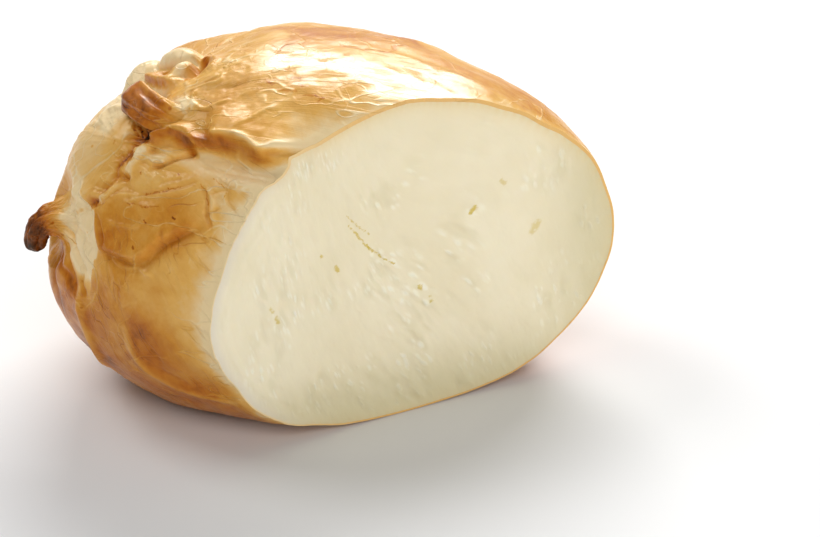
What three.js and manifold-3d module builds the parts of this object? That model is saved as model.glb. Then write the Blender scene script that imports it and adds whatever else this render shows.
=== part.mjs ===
// A provola cheese with its front end cut off. Millimetres, +Z up. The origin is on the resting
// face under the middle of the body, and the cut face looks along -Y.
import * as THREE from "three";
import { mergeVertices } from "three/addons/utils/BufferGeometryUtils.js";
import Module from "manifold-3d";

// --- sizes of the plain body, an uneven egg lying on its side ---------------------------------
const CENTRE_HEIGHT = 28; // centre of the body above the resting face
const HALF_LENGTH_GATHER = 50; // half length towards the gathered end
const HALF_LENGTH_FRONT = 62; // half length towards the end that is cut off
const HALF_WIDTH = 44.5;
const HALF_HEIGHT_TOP = 43;
const HALF_HEIGHT_BOTTOM = 35.5;
const PLAN_EXPONENT = 2.5; // above 2 makes the outline seen from above fuller than an ellipse
const AXIS_BEARING = 140; // degrees, where the gathered end points, turned as seen from above
const BASE_SOFTNESS = 5; // how softly the side rolls into the resting face
const CUT_DISTANCE = 28; // cut face in front of the centre

// --- unevenness ---------------------------------------------------------------------------------
const LUMP_HEIGHT = 0.16;
const LUMP_WAVES = 6;
const LUMP_LONGEST = 34;
const LUMP_STEP = 3.2;

// broad swellings of the plain egg, and one flat: "at" in degrees as for the folds below
const SWELLS = [
  { at: [-92, -12], rise: 0.9, width: 16 },
  { at: [74, 6], rise: 1.7, width: 17 },
  { at: [-112, 31], rise: 1.1, width: 9 },
  { at: [-142, 66], rise: -1.3, width: 12 },
  { at: [-156, 55], rise: -1.6, width: 9 },
  { at: [-120, 42], rise: -1, width: 5 },
];

// --- mesh ---------------------------------------------------------------------------------------
const SPHERE_DETAIL = 21;
const GATHER_BEARING = -95; // the mesh is finest around the middle of the gather
const GATHER_ELEVATION = 36;
const GATHER_FINENESS = 0.55; // 0 leaves the mesh even
const SKIN_RADIUS = 45; // radius that turns an angle into a distance along the skin
const SHARE_SOFTNESS = 0.8;

// --- folds --------------------------------------------------------------------------------------
const RIDGE_POWER = 1.7; // how rounded the top of a fold is, and the bottom of a crease
const CREASE_POWER = 1.5;
// A line holds [bearing, elevation] pairs in degrees, seen from the body's centre. Bearing 0 is
// towards the cut and 90 towards +X. "rise" is the height of the fold, or the depth of a crease.
// "left" and "right" are its half widths on both sides, going along the line. "lean" is how far
// it hangs downhill, as a share of its height. "start" and "end" are the shares of the line over
// which it fades.
const FOLDS = [
  // the big fold over the valley that runs from the gather to the cut, and a small one on its face
  { line: [[-66, 48], [-60.5, 49.8], [-55, 50.4], [-48, 49.7], [-42.6, 47.5], [-37.4, 48],
      [-30, 48.2], [-20, 48.5]],
    rise: 3.2, left: 4.6, right: 2.3, lean: 0.5, start: 0.15, end: 0.5 },
  { line: [[-45, 47], [-40.5, 45], [-36.2, 44.6], [-32, 44.5], [-26, 44.8]],
    rise: 0.9, left: 0.7, right: 1.3, lean: 0.3, start: 0.25, end: 0.2 },
  { line: [[-76, 42], [-65, 42.4], [-53, 42.6], [-42, 41], [-33, 39.5], [-26, 39]],
    rise: -1.8, left: 1.5, right: 3.6, lean: 0, start: 0.2, end: 0.5 },
  { line: [[-56, 36.5], [-46, 37.5], [-38, 37], [-28, 35]],
    rise: 1, left: 2, right: 3.5, lean: 0.15, start: 0.3, end: 0.25 },
  // the ragged seam from the tail up to the ear: its skirt, the flaps along it and its holes
  { line: [[-97, 15.5], [-92, 20], [-89, 24.5], [-88.5, 29.5], [-89.5, 33.5], [-88.5, 38],
      [-87, 42]],
    rise: -0.4, left: 1.5, right: 1.4, lean: 0, start: 0.06, end: 0.12 },
  { line: [[-104, 19], [-98, 21], [-93, 22.5], [-88.6, 25.4]],
    rise: 1, left: 2.4, right: 1, lean: 0.35, start: 0.2, end: 0.2 },
  { line: [[-88, 23.6], [-86.4, 26.4], [-86, 29.6]],
    rise: 1.1, left: 1, right: 1.2, lean: 0.1, start: 0.2, end: 0.2 },
  { line: [[-84, 31.2], [-84.6, 34.9], [-84.6, 38]],
    rise: 1.1, left: 1.1, right: 1.4, lean: 0.1, start: 0.25, end: 0.3 },
  { line: [[-87.8, 31], [-88.6, 33.6]],
    rise: 0.7, left: 0.8, right: 0.8, lean: 0.1, start: 0.3, end: 0.3 },
  { line: [[-87.5, 36.6], [-84.6, 39.6]],
    rise: 0.6, left: 0.7, right: 0.7, lean: 0.1, start: 0.3, end: 0.3 },
  { line: [[-85.6, 30.2], [-84.4, 30.6]],
    rise: -1.3, left: 0.8, right: 0.8, lean: 0, start: 0.3, end: 0.3 },
  // the hollow under the ear, with pleats in it
  { line: [[-96, 39], [-91, 41], [-86, 43]],
    rise: -1.2, left: 1.8, right: 1.8, lean: 0, start: 0.25, end: 0.2 },
  // the lip that hangs over the upper end of the seam, and the creases under it
  { line: [[-84, 41], [-82.8, 43], [-80.3, 45.7], [-77, 47], [-72.9, 47.5], [-69.3, 46.4],
      [-65.3, 46.2], [-61.8, 46.6]],
    rise: 1.8, left: 0.9, right: 1.6, lean: 0.3, start: 0.12, end: 0.2 },
  { line: [[-83, 38.8], [-78.5, 41.4], [-74.9, 42], [-71.2, 43], [-66.9, 43.2]],
    rise: -1, left: 0.9, right: 1.2, lean: 0, start: 0.15, end: 0.3 },
  { line: [[-78.9, 34.8], [-74.7, 38], [-71, 40.8], [-67.4, 43.7]],
    rise: -0.7, left: 0.6, right: 0.8, lean: 0, start: 0.2, end: 0.2 },
  // the ledge above the ear, the bowl under it and the pockets over it
  { line: [[-128, 47], [-118, 51], [-108.4, 54.3], [-101, 56.5]],
    rise: 1.7, left: 1.8, right: 1.2, lean: 0.3, start: 0.25, end: 0.2 },
  { line: [[-116, 44], [-104, 49], [-93, 52]],
    rise: -1.2, left: 2.2, right: 2.2, lean: 0, start: 0.3, end: 0.3 },
  { line: [[-122, 53], [-110, 57.3]],
    rise: -1.5, left: 1.5, right: 1.5, lean: 0, start: 0.3, end: 0.3 },
  { line: [[-103, 58.5], [-107, 60.5], [-113, 62.2], [-121, 63.5]],
    rise: -2.1, left: 1.5, right: 1.5, lean: 0, start: 0.25, end: 0.25 },
  { line: [[-128, 61.5], [-118, 65.8], [-106, 66.6], [-97, 62.5]],
    rise: 0.8, left: 1.3, right: 1.2, lean: 0, start: 0.2, end: 0.25 },
  { line: [[-90, 55], [-76, 61], [-52, 68], [-10, 74]],
    rise: -0.3, left: 1.2, right: 1.2, lean: 0, start: 0.15, end: 0.6 },
  // the panel of skin below the seam
  { line: [[-88, 22], [-85, 17], [-82, 12.5]],
    rise: 1.2, left: 4, right: 0.7, lean: 0, start: 0.15, end: 0.15 },
  { line: [[-83, 12.5], [-72, 12.5], [-65, 20], [-53, 27]],
    rise: -1.1, left: 0.8, right: 1.2, lean: 0, start: 0.1, end: 0.35 },
  { line: [[-84, 14.5], [-73, 14.5], [-67, 21], [-56, 28]],
    rise: 0.7, left: 2.4, right: 0.8, lean: 0, start: 0.15, end: 0.3 },
  { line: [[-86, 35], [-74, 36], [-60, 38]],
    rise: -0.6, left: 1, right: 1, lean: 0, start: 0.1, end: 0.6 },
  { line: [[-87, 29], [-76, 28], [-66, 30]],
    rise: -0.6, left: 1, right: 1, lean: 0, start: 0.1, end: 0.6 },
  // pleats running down from the tail
  { line: [[-101, 11], [-93, 4], [-88, -4]],
    rise: -1, left: 1, right: 1, lean: 0, start: 0.15, end: 0.5 },
  { line: [[-98, 13], [-90, 8], [-84, 2]],
    rise: -0.8, left: 0.9, right: 0.9, lean: 0, start: 0.15, end: 0.5 },
  { line: [[-106, 10], [-101, 0], [-97, -9]],
    rise: -1.1, left: 1.2, right: 1.2, lean: 0, start: 0.15, end: 0.5 },
  { line: [[-112, 9], [-110, -1], [-109, -10]],
    rise: -0.9, left: 1.1, right: 1.1, lean: 0, start: 0.15, end: 0.5 },
  { line: [[-112, 15], [-103, 16], [-92, 19.5]],
    rise: 1, left: 1.4, right: 0.9, lean: 0.3, start: 0.2, end: 0.3 },
  // low veins, and a long line over the top
  { line: [[-90, 2], [-88, -8], [-89, -17], [-94, -27]],
    rise: 1, left: 0.8, right: 1.5, lean: 0, start: 0.2, end: 0.3 },
  { line: [[-75, -3], [-73, -13], [-65, -21], [-48, -24]],
    rise: 0.8, left: 1.5, right: 0.8, lean: 0, start: 0.25, end: 0.2 },
  { line: [[80, 80], [50, 68], [49, 50], [51, 34], [54, 18]],
    rise: 0.45, left: 1.2, right: 2.4, lean: 0, start: 0.3, end: 0.3 },
  // the back and the far side
  { line: [[-150, 44], [-168, 38], [174, 28], [160, 14]],
    rise: 2.4, left: 2, right: 7, lean: 0.35, start: 0.2, end: 0.35 },
  { line: [[-146, 38], [-164, 33], [178, 23], [164, 10]],
    rise: -1.4, left: 2.2, right: 2.6, lean: 0, start: 0.2, end: 0.35 },
  { line: [[-126, 36], [-138, 26], [-150, 12], [-160, -2]],
    rise: -1.2, left: 1.1, right: 1.1, lean: 0, start: 0.12, end: 0.4 },
  { line: [[-118, 24], [-128, 12], [-136, -4]],
    rise: -1, left: 1.1, right: 1.1, lean: 0, start: 0.12, end: 0.4 },
  { line: [[-150, 58], [172, 56], [146, 46], [128, 30]],
    rise: -0.8, left: 1.2, right: 1.6, lean: 0, start: 0.15, end: 0.4 },
  { line: [[100, 40], [92, 22], [88, 4], [90, -14]],
    rise: 0.9, left: 1.5, right: 4, lean: 0, start: 0.3, end: 0.3 },
  { line: [[124, 34], [118, 16], [116, -4]],
    rise: -0.7, left: 1.1, right: 1.6, lean: 0, start: 0.3, end: 0.4 },
];

// --- lobes --------------------------------------------------------------------------------------
// A lobe is half an ellipsoid that grows out of the skin at "at", long towards "towards", its
// centre "sit" above the skin.
const LOBES = [
  // the ear, from its head to its narrow end
  { at: [-107, 45.3], towards: [-115, 43.5], sit: -1, long: 4.6, wide: 3.2, out: 4.4, lean: 0.2 },
  { at: [-98, 46.4], towards: [-107, 45.5], sit: -1, long: 5, wide: 3.2, out: 4.2, lean: 0.2 },
  { at: [-89, 46.9], towards: [-98, 46.6], sit: -1, long: 4.8, wide: 2.8, out: 3.2, lean: 0.1 },
  // the roll behind the ear, the knob above it and the bump beside it
  { at: [-134, 44], towards: [-141, 48], sit: -1.4, long: 5.2, wide: 3.6, out: 3.7, lean: 0.2 },
  { at: [-132, 55.5], towards: [-125, 60], sit: -1.4, long: 6, wide: 3.6, out: 3.4, lean: 0.2 },
  { at: [-112, 57.5], towards: [-117, 61], sit: -1.4, long: 3.5, wide: 2, out: 2.2, lean: 0.2 },
  { at: [-84, 51.6], towards: [-79, 53], sit: -1.6, long: 2.6, wide: 2.4, out: 2.3, lean: 0 },
  // around the root of the tail
  { at: [-108, 17], towards: [-101, 19.5], sit: -1.6, long: 4.2, wide: 3, out: 3.6, lean: 0.1 },
  { at: [-102, 12.5], towards: [-95, 10], sit: -3, long: 6.5, wide: 5, out: 5, lean: 0 },
];
const LOBE_BLEND = 1.5; // how softly a lobe joins the skin

// --- the tail, the small twisted end of the gather ------------------------------------------------
const TAIL_ROOT = [-45, 11.8, 38];
const TAIL_BEARING = -114; // degrees, where the tail points
const TAIL_LINE = [[-3, -1], [2.6, 0.2], [6.2, -0.8], [7.4, -3.8], [6.6, -6]]; // [out, up]
const TAIL_ROOT_RADIUS = 4.2;
const TAIL_RADIUS = 2.1;
const TAIL_TIP_RADIUS = 1.8;
const TAIL_FLARE = 0.45; // share of the tail over which the root narrows
const TAIL_SIDES = 14;
const TAIL_RINGS = 14;

// --- colours ------------------------------------------------------------------------------------
const RIND_COLOUR = 0xc98f45;
const RIND_ROUGHNESS = 0.35;

const RAD = Math.PI / 180;
const centre = new THREE.Vector3(0, 0, CENTRE_HEIGHT);

function direction([bearing, elevation]) {
  const b = bearing * RAD;
  const e = elevation * RAD;
  return new THREE.Vector3(Math.sin(b) * Math.cos(e), -Math.cos(b) * Math.cos(e), Math.sin(e));
}

const longAxis = direction([-AXIS_BEARING, 0]);
const sideAxis = new THREE.Vector3(-longAxis.y, longAxis.x, 0).negate();

function smoothStep(t) {
  const c = THREE.MathUtils.clamp(t, 0, 1);
  return c * c * (3 - 2 * c);
}

function smoothMax(a, b, softness) {
  const h = THREE.MathUtils.clamp(0.5 + (0.5 * (a - b)) / softness, 0, 1);
  return b + (a - b) * h + softness * h * (1 - h);
}

// distance of the plain egg's skin from the centre
function eggRadius(d) {
  const along = d.dot(longAxis);
  const across = d.dot(sideAxis);
  const length = along > 0 ? HALF_LENGTH_GATHER : HALF_LENGTH_FRONT;
  const height = d.z > 0 ? HALF_HEIGHT_TOP : HALF_HEIGHT_BOTTOM;
  const plan =
    Math.abs(along / length) ** PLAN_EXPONENT + Math.abs(across / HALF_WIDTH) ** PLAN_EXPONENT;
  return 1 / Math.sqrt(plan ** (2 / PLAN_EXPONENT) + (d.z / height) ** 2);
}

function swelling(d) {
  let total = 0;
  for (const swell of SWELLS) {
    const x = (SKIN_RADIUS * d.distanceTo(direction(swell.at))) / swell.width;
    total += swell.rise * Math.exp(-x * x);
  }
  return total;
}

function lumpiness(p) {
  let total = 0;
  for (let i = 0; i < LUMP_WAVES; i++) {
    const way = new THREE.Vector3(
      Math.sin(2.4 * i + 0.3),
      Math.cos(1.7 * i),
      Math.sin(1.1 * i + 1.9),
    ).normalize();
    const wave = LUMP_LONGEST - LUMP_STEP * i;
    total += Math.sin((p.dot(way) * 2 * Math.PI) / wave + 1.3 * i);
  }
  return total * LUMP_HEIGHT;
}

// a fold's line as short straight steps on the unit sphere, with the share of its length at each
function traceLine(points) {
  const curve = new THREE.CatmullRomCurve3(points.map(direction), false, "catmullrom", 0.5);
  const steps = 3 * (points.length - 1);
  const trace = [];
  for (let i = 0; i <= steps; i++) {
    trace.push(curve.getPoint(i / steps).normalize());
  }
  const share = [0];
  for (let i = 0; i < steps; i++) {
    share.push(share[i] + trace[i].distanceTo(trace[i + 1]));
  }
  return { trace, share: share.map((s) => s / share[steps]) };
}

// nearest place of a traced line to the direction d: distance along the skin, side and share.
// The share is softened over neighbouring steps, so that it doesn't jump inside a bend.
function nearest(d, { trace, share }) {
  const best = { distance: Infinity, side: 0, share: 0 };
  const feet = [];
  for (let i = 0; i < trace.length - 1; i++) {
    const step = trace[i + 1].clone().sub(trace[i]);
    const t = d.clone().sub(trace[i]).dot(step) / step.lengthSq();
    const c = THREE.MathUtils.clamp(t, 0, 1);
    const foot = trace[i].clone().addScaledVector(step, c).normalize();
    const distance = SKIN_RADIUS * d.distanceTo(foot);
    feet.push({ distance, share: share[i] + c * (share[i + 1] - share[i]) });
    if (distance < best.distance) {
      best.distance = distance;
      best.side = d.dot(trace[i].clone().cross(trace[i + 1]));
    }
  }
  let total = 0;
  for (const foot of feet) {
    const weight = Math.exp((best.distance - foot.distance) / SHARE_SOFTNESS);
    total += weight;
    best.share += weight * foot.share;
  }
  best.share /= total;
  return best;
}

function foldHeight(d, fold) {
  const at = nearest(d, fold.traced);
  const x = at.distance / (at.side > 0 ? fold.left : fold.right);
  const profile = Math.exp(-(x ** (fold.rise > 0 ? RIDGE_POWER : CREASE_POWER)));
  const fade = smoothStep(at.share / fold.start) * smoothStep((1 - at.share) / fold.end);
  return fold.rise * profile * fade;
}

// height of a lobe over a skin that is skinRadius from the centre
function lobeHeight(d, lobe, skinRadius) {
  const reach = eggRadius(lobe.up) + lobe.sit;
  const u = new THREE.Vector3(
    d.dot(lobe.lengthwise) / lobe.long,
    d.dot(lobe.crosswise) / lobe.wide,
    d.dot(lobe.up) / lobe.out,
  );
  const w = reach / lobe.out;
  const a = u.lengthSq();
  const b = u.z * w;
  const root = b * b - a * (w * w - 1);
  if (root <= 0 || u.z <= 0) {
    return 0;
  }
  const far = (b + Math.sqrt(root)) / a;
  return far <= skinRadius - LOBE_BLEND ? 0 : smoothMax(far, skinRadius, LOBE_BLEND) - skinRadius;
}

for (const fold of FOLDS) {
  fold.traced = traceLine(fold.line);
}
for (const lobe of LOBES) {
  lobe.up = direction(lobe.at);
  lobe.lengthwise = direction(lobe.towards).projectOnPlane(lobe.up).normalize();
  lobe.crosswise = lobe.up.clone().cross(lobe.lengthwise);
}

// brings directions closer to the gather, so that the mesh is finest there
function gatherIn(d) {
  const pole = direction([GATHER_BEARING, GATHER_ELEVATION]);
  const angle = d.angleTo(pole);
  const away = d.clone().addScaledVector(pole, -d.dot(pole)).normalize();
  const closer = angle - GATHER_FINENESS * Math.sin(angle);
  return pole.multiplyScalar(Math.cos(closer)).addScaledVector(away, Math.sin(closer));
}

function skinPoint(d) {
  let radius = eggRadius(d);
  radius += lumpiness(d.clone().multiplyScalar(radius)) + swelling(d);
  let hang = 0;
  for (const fold of FOLDS) {
    const height = foldHeight(d, fold);
    radius += height;
    hang += height * fold.lean;
  }
  for (const lobe of LOBES) {
    const height = lobeHeight(d, lobe, radius);
    radius += height;
    hang += height * lobe.lean;
  }
  const downhill = new THREE.Vector3(d.z * d.x, d.z * d.y, d.z * d.z - 1).normalize();
  const p = centre.clone().addScaledVector(d, radius).addScaledVector(downhill, hang);
  p.z = smoothMax(p.z, 0, BASE_SOFTNESS);
  return p;
}

function moveVertices(geometry, move) {
  const position = geometry.attributes.position;
  for (let i = 0; i < position.count; i++) {
    const p = move(new THREE.Vector3().fromBufferAttribute(position, i));
    position.setXYZ(i, p.x, p.y, p.z);
  }
  return geometry;
}

function welded(geometry) {
  geometry.deleteAttribute("normal");
  geometry.deleteAttribute("uv");
  return mergeVertices(geometry, 1e-4);
}

function makeBody() {
  const sphere = welded(new THREE.IcosahedronGeometry(1, SPHERE_DETAIL));
  return moveVertices(sphere, (v) => skinPoint(gatherIn(v.normalize())));
}

// a capsule bent along the tail's line, wide at its root
function makeTail() {
  const out = direction([TAIL_BEARING, 0]);
  const up = new THREE.Vector3(0, 0, 1);
  const sideways = out.clone().cross(up);
  const root = new THREE.Vector3(...TAIL_ROOT);
  const line = new THREE.CatmullRomCurve3(
    TAIL_LINE.map(([o, z]) => root.clone().addScaledVector(out, o).addScaledVector(up, z)),
  );
  const length = line.getLength();
  const capsule = new THREE.CapsuleGeometry(1, length, 3, TAIL_SIDES, TAIL_RINGS);
  return moveVertices(welded(capsule), (v) => {
    const share = THREE.MathUtils.clamp(v.y / length + 0.5, 0, 1);
    const beyond = v.y - THREE.MathUtils.clamp(v.y, -length / 2, length / 2);
    const flare = smoothStep(1 - share / TAIL_FLARE);
    const shaft = THREE.MathUtils.lerp(TAIL_RADIUS, TAIL_TIP_RADIUS, share);
    const radius = THREE.MathUtils.lerp(shaft, TAIL_ROOT_RADIUS, flare);
    const tangent = line.getTangentAt(share);
    const across = sideways.clone().cross(tangent);
    return line
      .getPointAt(share)
      .addScaledVector(tangent, beyond * radius)
      .addScaledVector(sideways, v.x * radius)
      .addScaledVector(across, v.z * radius);
  });
}

const wasm = await Module();
wasm.setup();

function toManifold(geometry) {
  const mesh = new wasm.Mesh({
    numProp: 3,
    vertProperties: new Float32Array(geometry.attributes.position.array),
    triVerts: new Uint32Array(geometry.index.array),
  });
  return new wasm.Manifold(mesh);
}

function toGeometry(solid) {
  const mesh = solid.getMesh();
  const geometry = new THREE.BufferGeometry();
  geometry.setAttribute("position", new THREE.BufferAttribute(mesh.vertProperties, 3));
  geometry.setIndex(new THREE.BufferAttribute(mesh.triVerts, 1));
  return geometry;
}

const CUTTER = 200; // edge of the box that takes the front end away
const cutter = welded(new THREE.BoxGeometry(CUTTER, CUTTER, CUTTER));
cutter.translate(0, -CUT_DISTANCE - CUTTER / 2, 0);

const cheese = new THREE.Mesh(
  toGeometry(toManifold(makeBody()).subtract(toManifold(cutter)).add(toManifold(makeTail()))),
  new THREE.MeshStandardMaterial({
    color: RIND_COLOUR,
    roughness: RIND_ROUGHNESS,
    metalness: 0,
  }),
);
cheese.name = "cheese";

const group = new THREE.Group();
group.add(cheese);

export default group;
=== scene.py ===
"""A cut provola cheese: folded smoked rind, curled tail, rolled ear and pale fibrous paste.

Sizes in the tables are millimetres, angles are degrees, and the scene is in metres, in the frame of
the CAD part: the cheese rests on z = 0 and its cut face looks along -Y.
"""

import math
from collections import namedtuple

import bmesh
import bpy
import numpy as np
from bpy.props import FloatProperty, FloatVectorProperty, IntProperty, PointerProperty
from bpy.types import Operator, Panel, PropertyGroup
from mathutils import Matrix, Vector, noise


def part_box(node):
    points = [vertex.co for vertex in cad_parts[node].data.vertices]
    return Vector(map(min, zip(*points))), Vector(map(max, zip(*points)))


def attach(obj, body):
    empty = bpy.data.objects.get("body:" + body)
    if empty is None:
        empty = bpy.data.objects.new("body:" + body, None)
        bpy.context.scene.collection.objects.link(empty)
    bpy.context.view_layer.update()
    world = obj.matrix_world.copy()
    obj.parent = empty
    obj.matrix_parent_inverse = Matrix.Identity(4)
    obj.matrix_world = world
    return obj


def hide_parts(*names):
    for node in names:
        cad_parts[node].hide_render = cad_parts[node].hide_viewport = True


bl_info = {
    "name": "Cut provola cheese",
    "version": (1, 0, 0),
    "blender": (4, 5, 0),
    "location": "View3D > Sidebar > Cheese",
    "description": "Builds a cut provola cheese with a folded smoked rind",
    "category": "Add Mesh",
}

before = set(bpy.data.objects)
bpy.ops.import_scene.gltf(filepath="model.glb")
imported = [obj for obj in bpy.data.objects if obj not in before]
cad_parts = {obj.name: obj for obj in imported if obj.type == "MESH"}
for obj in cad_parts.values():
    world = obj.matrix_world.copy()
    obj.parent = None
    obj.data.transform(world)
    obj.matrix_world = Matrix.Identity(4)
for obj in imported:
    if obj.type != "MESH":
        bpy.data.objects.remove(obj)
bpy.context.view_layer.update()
CUT_DISTANCE = -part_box("cheese")[0][1]

MM = 0.001

# --- the plain body, an uneven egg lying on its side ------------------------------------------------
CENTRE = np.array([0.0, 0.0, 28.0])
HALF_LENGTH_GATHER = 50.0
HALF_LENGTH_FRONT = 62.0
HALF_WIDTH = 44.5
HALF_HEIGHT_TOP = 43.0
HALF_HEIGHT_BOTTOM = 35.5
PLAN_EXPONENT = 2.5
AXIS_BEARING = -140.0
BASE_SOFTNESS = 5.0
SKIN_RADIUS = 45.0  # turns an angle into a distance along the skin
SHARE_SOFTNESS = 0.8  # how softly a line's segments join, in millimetres
LUMP_HEIGHT = 0.16
LUMP_WAVES = 6
LUMP_LONGEST = 34.0
LUMP_STEP = 3.2

# the middle of the gather, where the mesh is finest and the pleats meet
GATHER = (-95.0, 36.0)
GATHER_FINENESS = 0.55
GATHER_REACH = 45.0
FINE_MIDDLE = (-86.0, 34.0)
FINE_REACH = 38.0  # degrees around it where the mesh is refined once more

# broad swellings of the egg: place [bearing, elevation], rise and width
SWELLS = [
    ((-92, -12), 0.9, 16),
    ((74, 6), 1.7, 17),
    ((-112, 31), 1.1, 9),
    ((-142, 66), -1.3, 12),
    ((-156, 55), -1.6, 9),
    ((-120, 42), -1, 5),
]

# Lines on the skin: points as (bearing, elevation) seen from the body's centre, bearing 0 towards
# the cut and 90 towards +X. rise is the height of a fold or the depth of a crease, left and right
# its half widths, lean how far it hangs downhill, start and end the shares over which it fades.
Fold = namedtuple("Fold", "line rise left right lean start end")
RIDGE_POWER = 1.7  # how rounded the top of a fold is, and the bottom of a crease
CREASE_POWER = 1.5

FOLDS = [
    # the big fold over the valley that runs from the gather to the cut, and a small one on its face
    Fold([(-66, 48), (-60.5, 49.8), (-55, 50.4), (-48, 49.7), (-42.6, 47.5), (-37.4, 48),
          (-30, 48.2), (-20, 48.5)], 3.2, 4.6, 2.3, 0.5, 0.15, 0.5),
    Fold([(-45, 47), (-40.5, 45), (-36.2, 44.6), (-32, 44.5), (-26, 44.8)],
         0.9, 0.7, 1.3, 0.3, 0.25, 0.2),
    Fold([(-76, 42), (-65, 42.4), (-53, 42.6), (-42, 41), (-33, 39.5), (-26, 39)],
         -1.8, 1.5, 3.6, 0, 0.2, 0.5),
    Fold([(-56, 36.5), (-46, 37.5), (-38, 37), (-28, 35)], 1, 2, 3.5, 0.15, 0.3, 0.25),
    # the ragged seam from the tail up to the ear: its skirt, the flaps along it and its holes
    Fold([(-97, 15.5), (-92, 20), (-89, 24.5), (-88.5, 29.5), (-89.5, 33.5), (-88.5, 38), (-87, 42)],
         -0.4, 1.5, 1.4, 0, 0.06, 0.12),
    Fold([(-104, 19), (-98, 21), (-93, 22.5), (-88.6, 25.4)], 1, 2.4, 1, 0.35, 0.2, 0.2),
    Fold([(-88, 23.6), (-86.4, 26.4), (-86, 29.6)], 1.1, 1, 1.2, 0.1, 0.2, 0.2),
    Fold([(-84, 31.2), (-84.6, 34.9), (-84.6, 38)], 1.1, 1.1, 1.4, 0.1, 0.25, 0.3),
    Fold([(-87.8, 31), (-88.6, 33.6)], 0.7, 0.8, 0.8, 0.1, 0.3, 0.3),
    Fold([(-87.5, 36.6), (-84.6, 39.6)], 0.6, 0.7, 0.7, 0.1, 0.3, 0.3),
    Fold([(-85.6, 30.2), (-84.4, 30.6)], -1.3, 0.8, 0.8, 0, 0.3, 0.3),
    # the hollow under the ear, with pleats in it
    Fold([(-96, 39), (-91, 41), (-86, 43)], -1.2, 1.8, 1.8, 0, 0.25, 0.2),
    # the lip that hangs over the upper end of the seam, and the creases under it
    Fold([(-84, 41), (-82.8, 43), (-80.3, 45.7), (-77, 47), (-72.9, 47.5), (-69.3, 46.4),
          (-65.3, 46.2), (-61.8, 46.6)], 1.8, 0.9, 1.6, 0.3, 0.12, 0.2),
    Fold([(-83, 38.8), (-78.5, 41.4), (-74.9, 42), (-71.2, 43), (-66.9, 43.2)],
         -1, 0.9, 1.2, 0, 0.15, 0.3),
    Fold([(-78.9, 34.8), (-74.7, 38), (-71, 40.8), (-67.4, 43.7)], -0.7, 0.6, 0.8, 0, 0.2, 0.2),
    # the ledge above the ear, the bowl under it and the pockets over it
    Fold([(-128, 47), (-118, 51), (-108.4, 54.3), (-101, 56.5)], 1.7, 1.8, 1.2, 0.3, 0.25, 0.2),
    Fold([(-116, 44), (-104, 49), (-93, 52)], -1.2, 2.2, 2.2, 0, 0.3, 0.3),
    Fold([(-122, 53), (-110, 57.3)], -1.5, 1.5, 1.5, 0, 0.3, 0.3),
    Fold([(-103, 58.5), (-107, 60.5), (-113, 62.2), (-121, 63.5)], -2.1, 1.5, 1.5, 0, 0.25, 0.25),
    Fold([(-128, 61.5), (-118, 65.8), (-106, 66.6), (-97, 62.5)], 0.8, 1.3, 1.2, 0, 0.2, 0.25),
    Fold([(-90, 55), (-76, 61), (-52, 68), (-10, 74)], -0.3, 1.2, 1.2, 0, 0.15, 0.6),
    # the panel of skin below the seam
    Fold([(-88, 22), (-85, 17), (-82, 12.5)], 1.2, 4, 0.7, 0, 0.15, 0.15),
    Fold([(-83, 12.5), (-72, 12.5), (-65, 20), (-53, 27)], -1.1, 0.8, 1.2, 0, 0.1, 0.35),
    Fold([(-84, 14.5), (-73, 14.5), (-67, 21), (-56, 28)], 0.7, 2.4, 0.8, 0, 0.15, 0.3),
    Fold([(-86, 35), (-74, 36), (-60, 38)], -0.6, 1, 1, 0, 0.1, 0.6),
    Fold([(-87, 29), (-76, 28), (-66, 30)], -0.6, 1, 1, 0, 0.1, 0.6),
    # pleats running down from the tail
    Fold([(-101, 11), (-93, 4), (-88, -4)], -1, 1, 1, 0, 0.15, 0.5),
    Fold([(-98, 13), (-90, 8), (-84, 2)], -0.8, 0.9, 0.9, 0, 0.15, 0.5),
    Fold([(-106, 10), (-101, 0), (-97, -9)], -1.1, 1.2, 1.2, 0, 0.15, 0.5),
    Fold([(-112, 9), (-110, -1), (-109, -10)], -0.9, 1.1, 1.1, 0, 0.15, 0.5),
    Fold([(-112, 15), (-103, 16), (-92, 19.5)], 1, 1.4, 0.9, 0.3, 0.2, 0.3),
    # low veins, and a long line over the top
    Fold([(-90, 2), (-88, -8), (-89, -17), (-94, -27)], 1, 0.8, 1.5, 0, 0.2, 0.3),
    Fold([(-75, -3), (-73, -13), (-65, -21), (-48, -24)], 0.8, 1.5, 0.8, 0, 0.25, 0.2),
    Fold([(80, 80), (50, 68), (49, 50), (51, 34), (54, 18)], 0.45, 1.2, 2.4, 0, 0.3, 0.3),
    # the back and the far side
    Fold([(-150, 44), (-168, 38), (174, 28), (160, 14)], 2.4, 2, 7, 0.35, 0.2, 0.35),
    Fold([(-146, 38), (-164, 33), (178, 23), (164, 10)], -1.4, 2.2, 2.6, 0, 0.2, 0.35),
    Fold([(-126, 36), (-138, 26), (-150, 12), (-160, -2)], -1.2, 1.1, 1.1, 0, 0.12, 0.4),
    Fold([(-118, 24), (-128, 12), (-136, -4)], -1, 1.1, 1.1, 0, 0.12, 0.4),
    Fold([(-150, 58), (172, 56), (146, 46), (128, 30)], -0.8, 1.2, 1.6, 0, 0.15, 0.4),
    Fold([(100, 40), (92, 22), (88, 4), (90, -14)], 0.9, 1.5, 4, 0, 0.3, 0.3),
    Fold([(124, 34), (118, 16), (116, -4)], -0.7, 1.1, 1.6, 0, 0.3, 0.4),
]

# finer wrinkles, as points, rise and half width
Wrinkle = namedtuple("Wrinkle", "line rise width")
WRINKLE_FADE = 0.2  # share of its length over which each end fades
GROOVE_SHADE = 0.2  # painted shade in the grooves, per millimetre of depth
CREST_WEAR_AND_HIGHLIGHT = -0.25  # paler crests, partly wear and partly painted highlight, per millimetre of height

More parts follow.
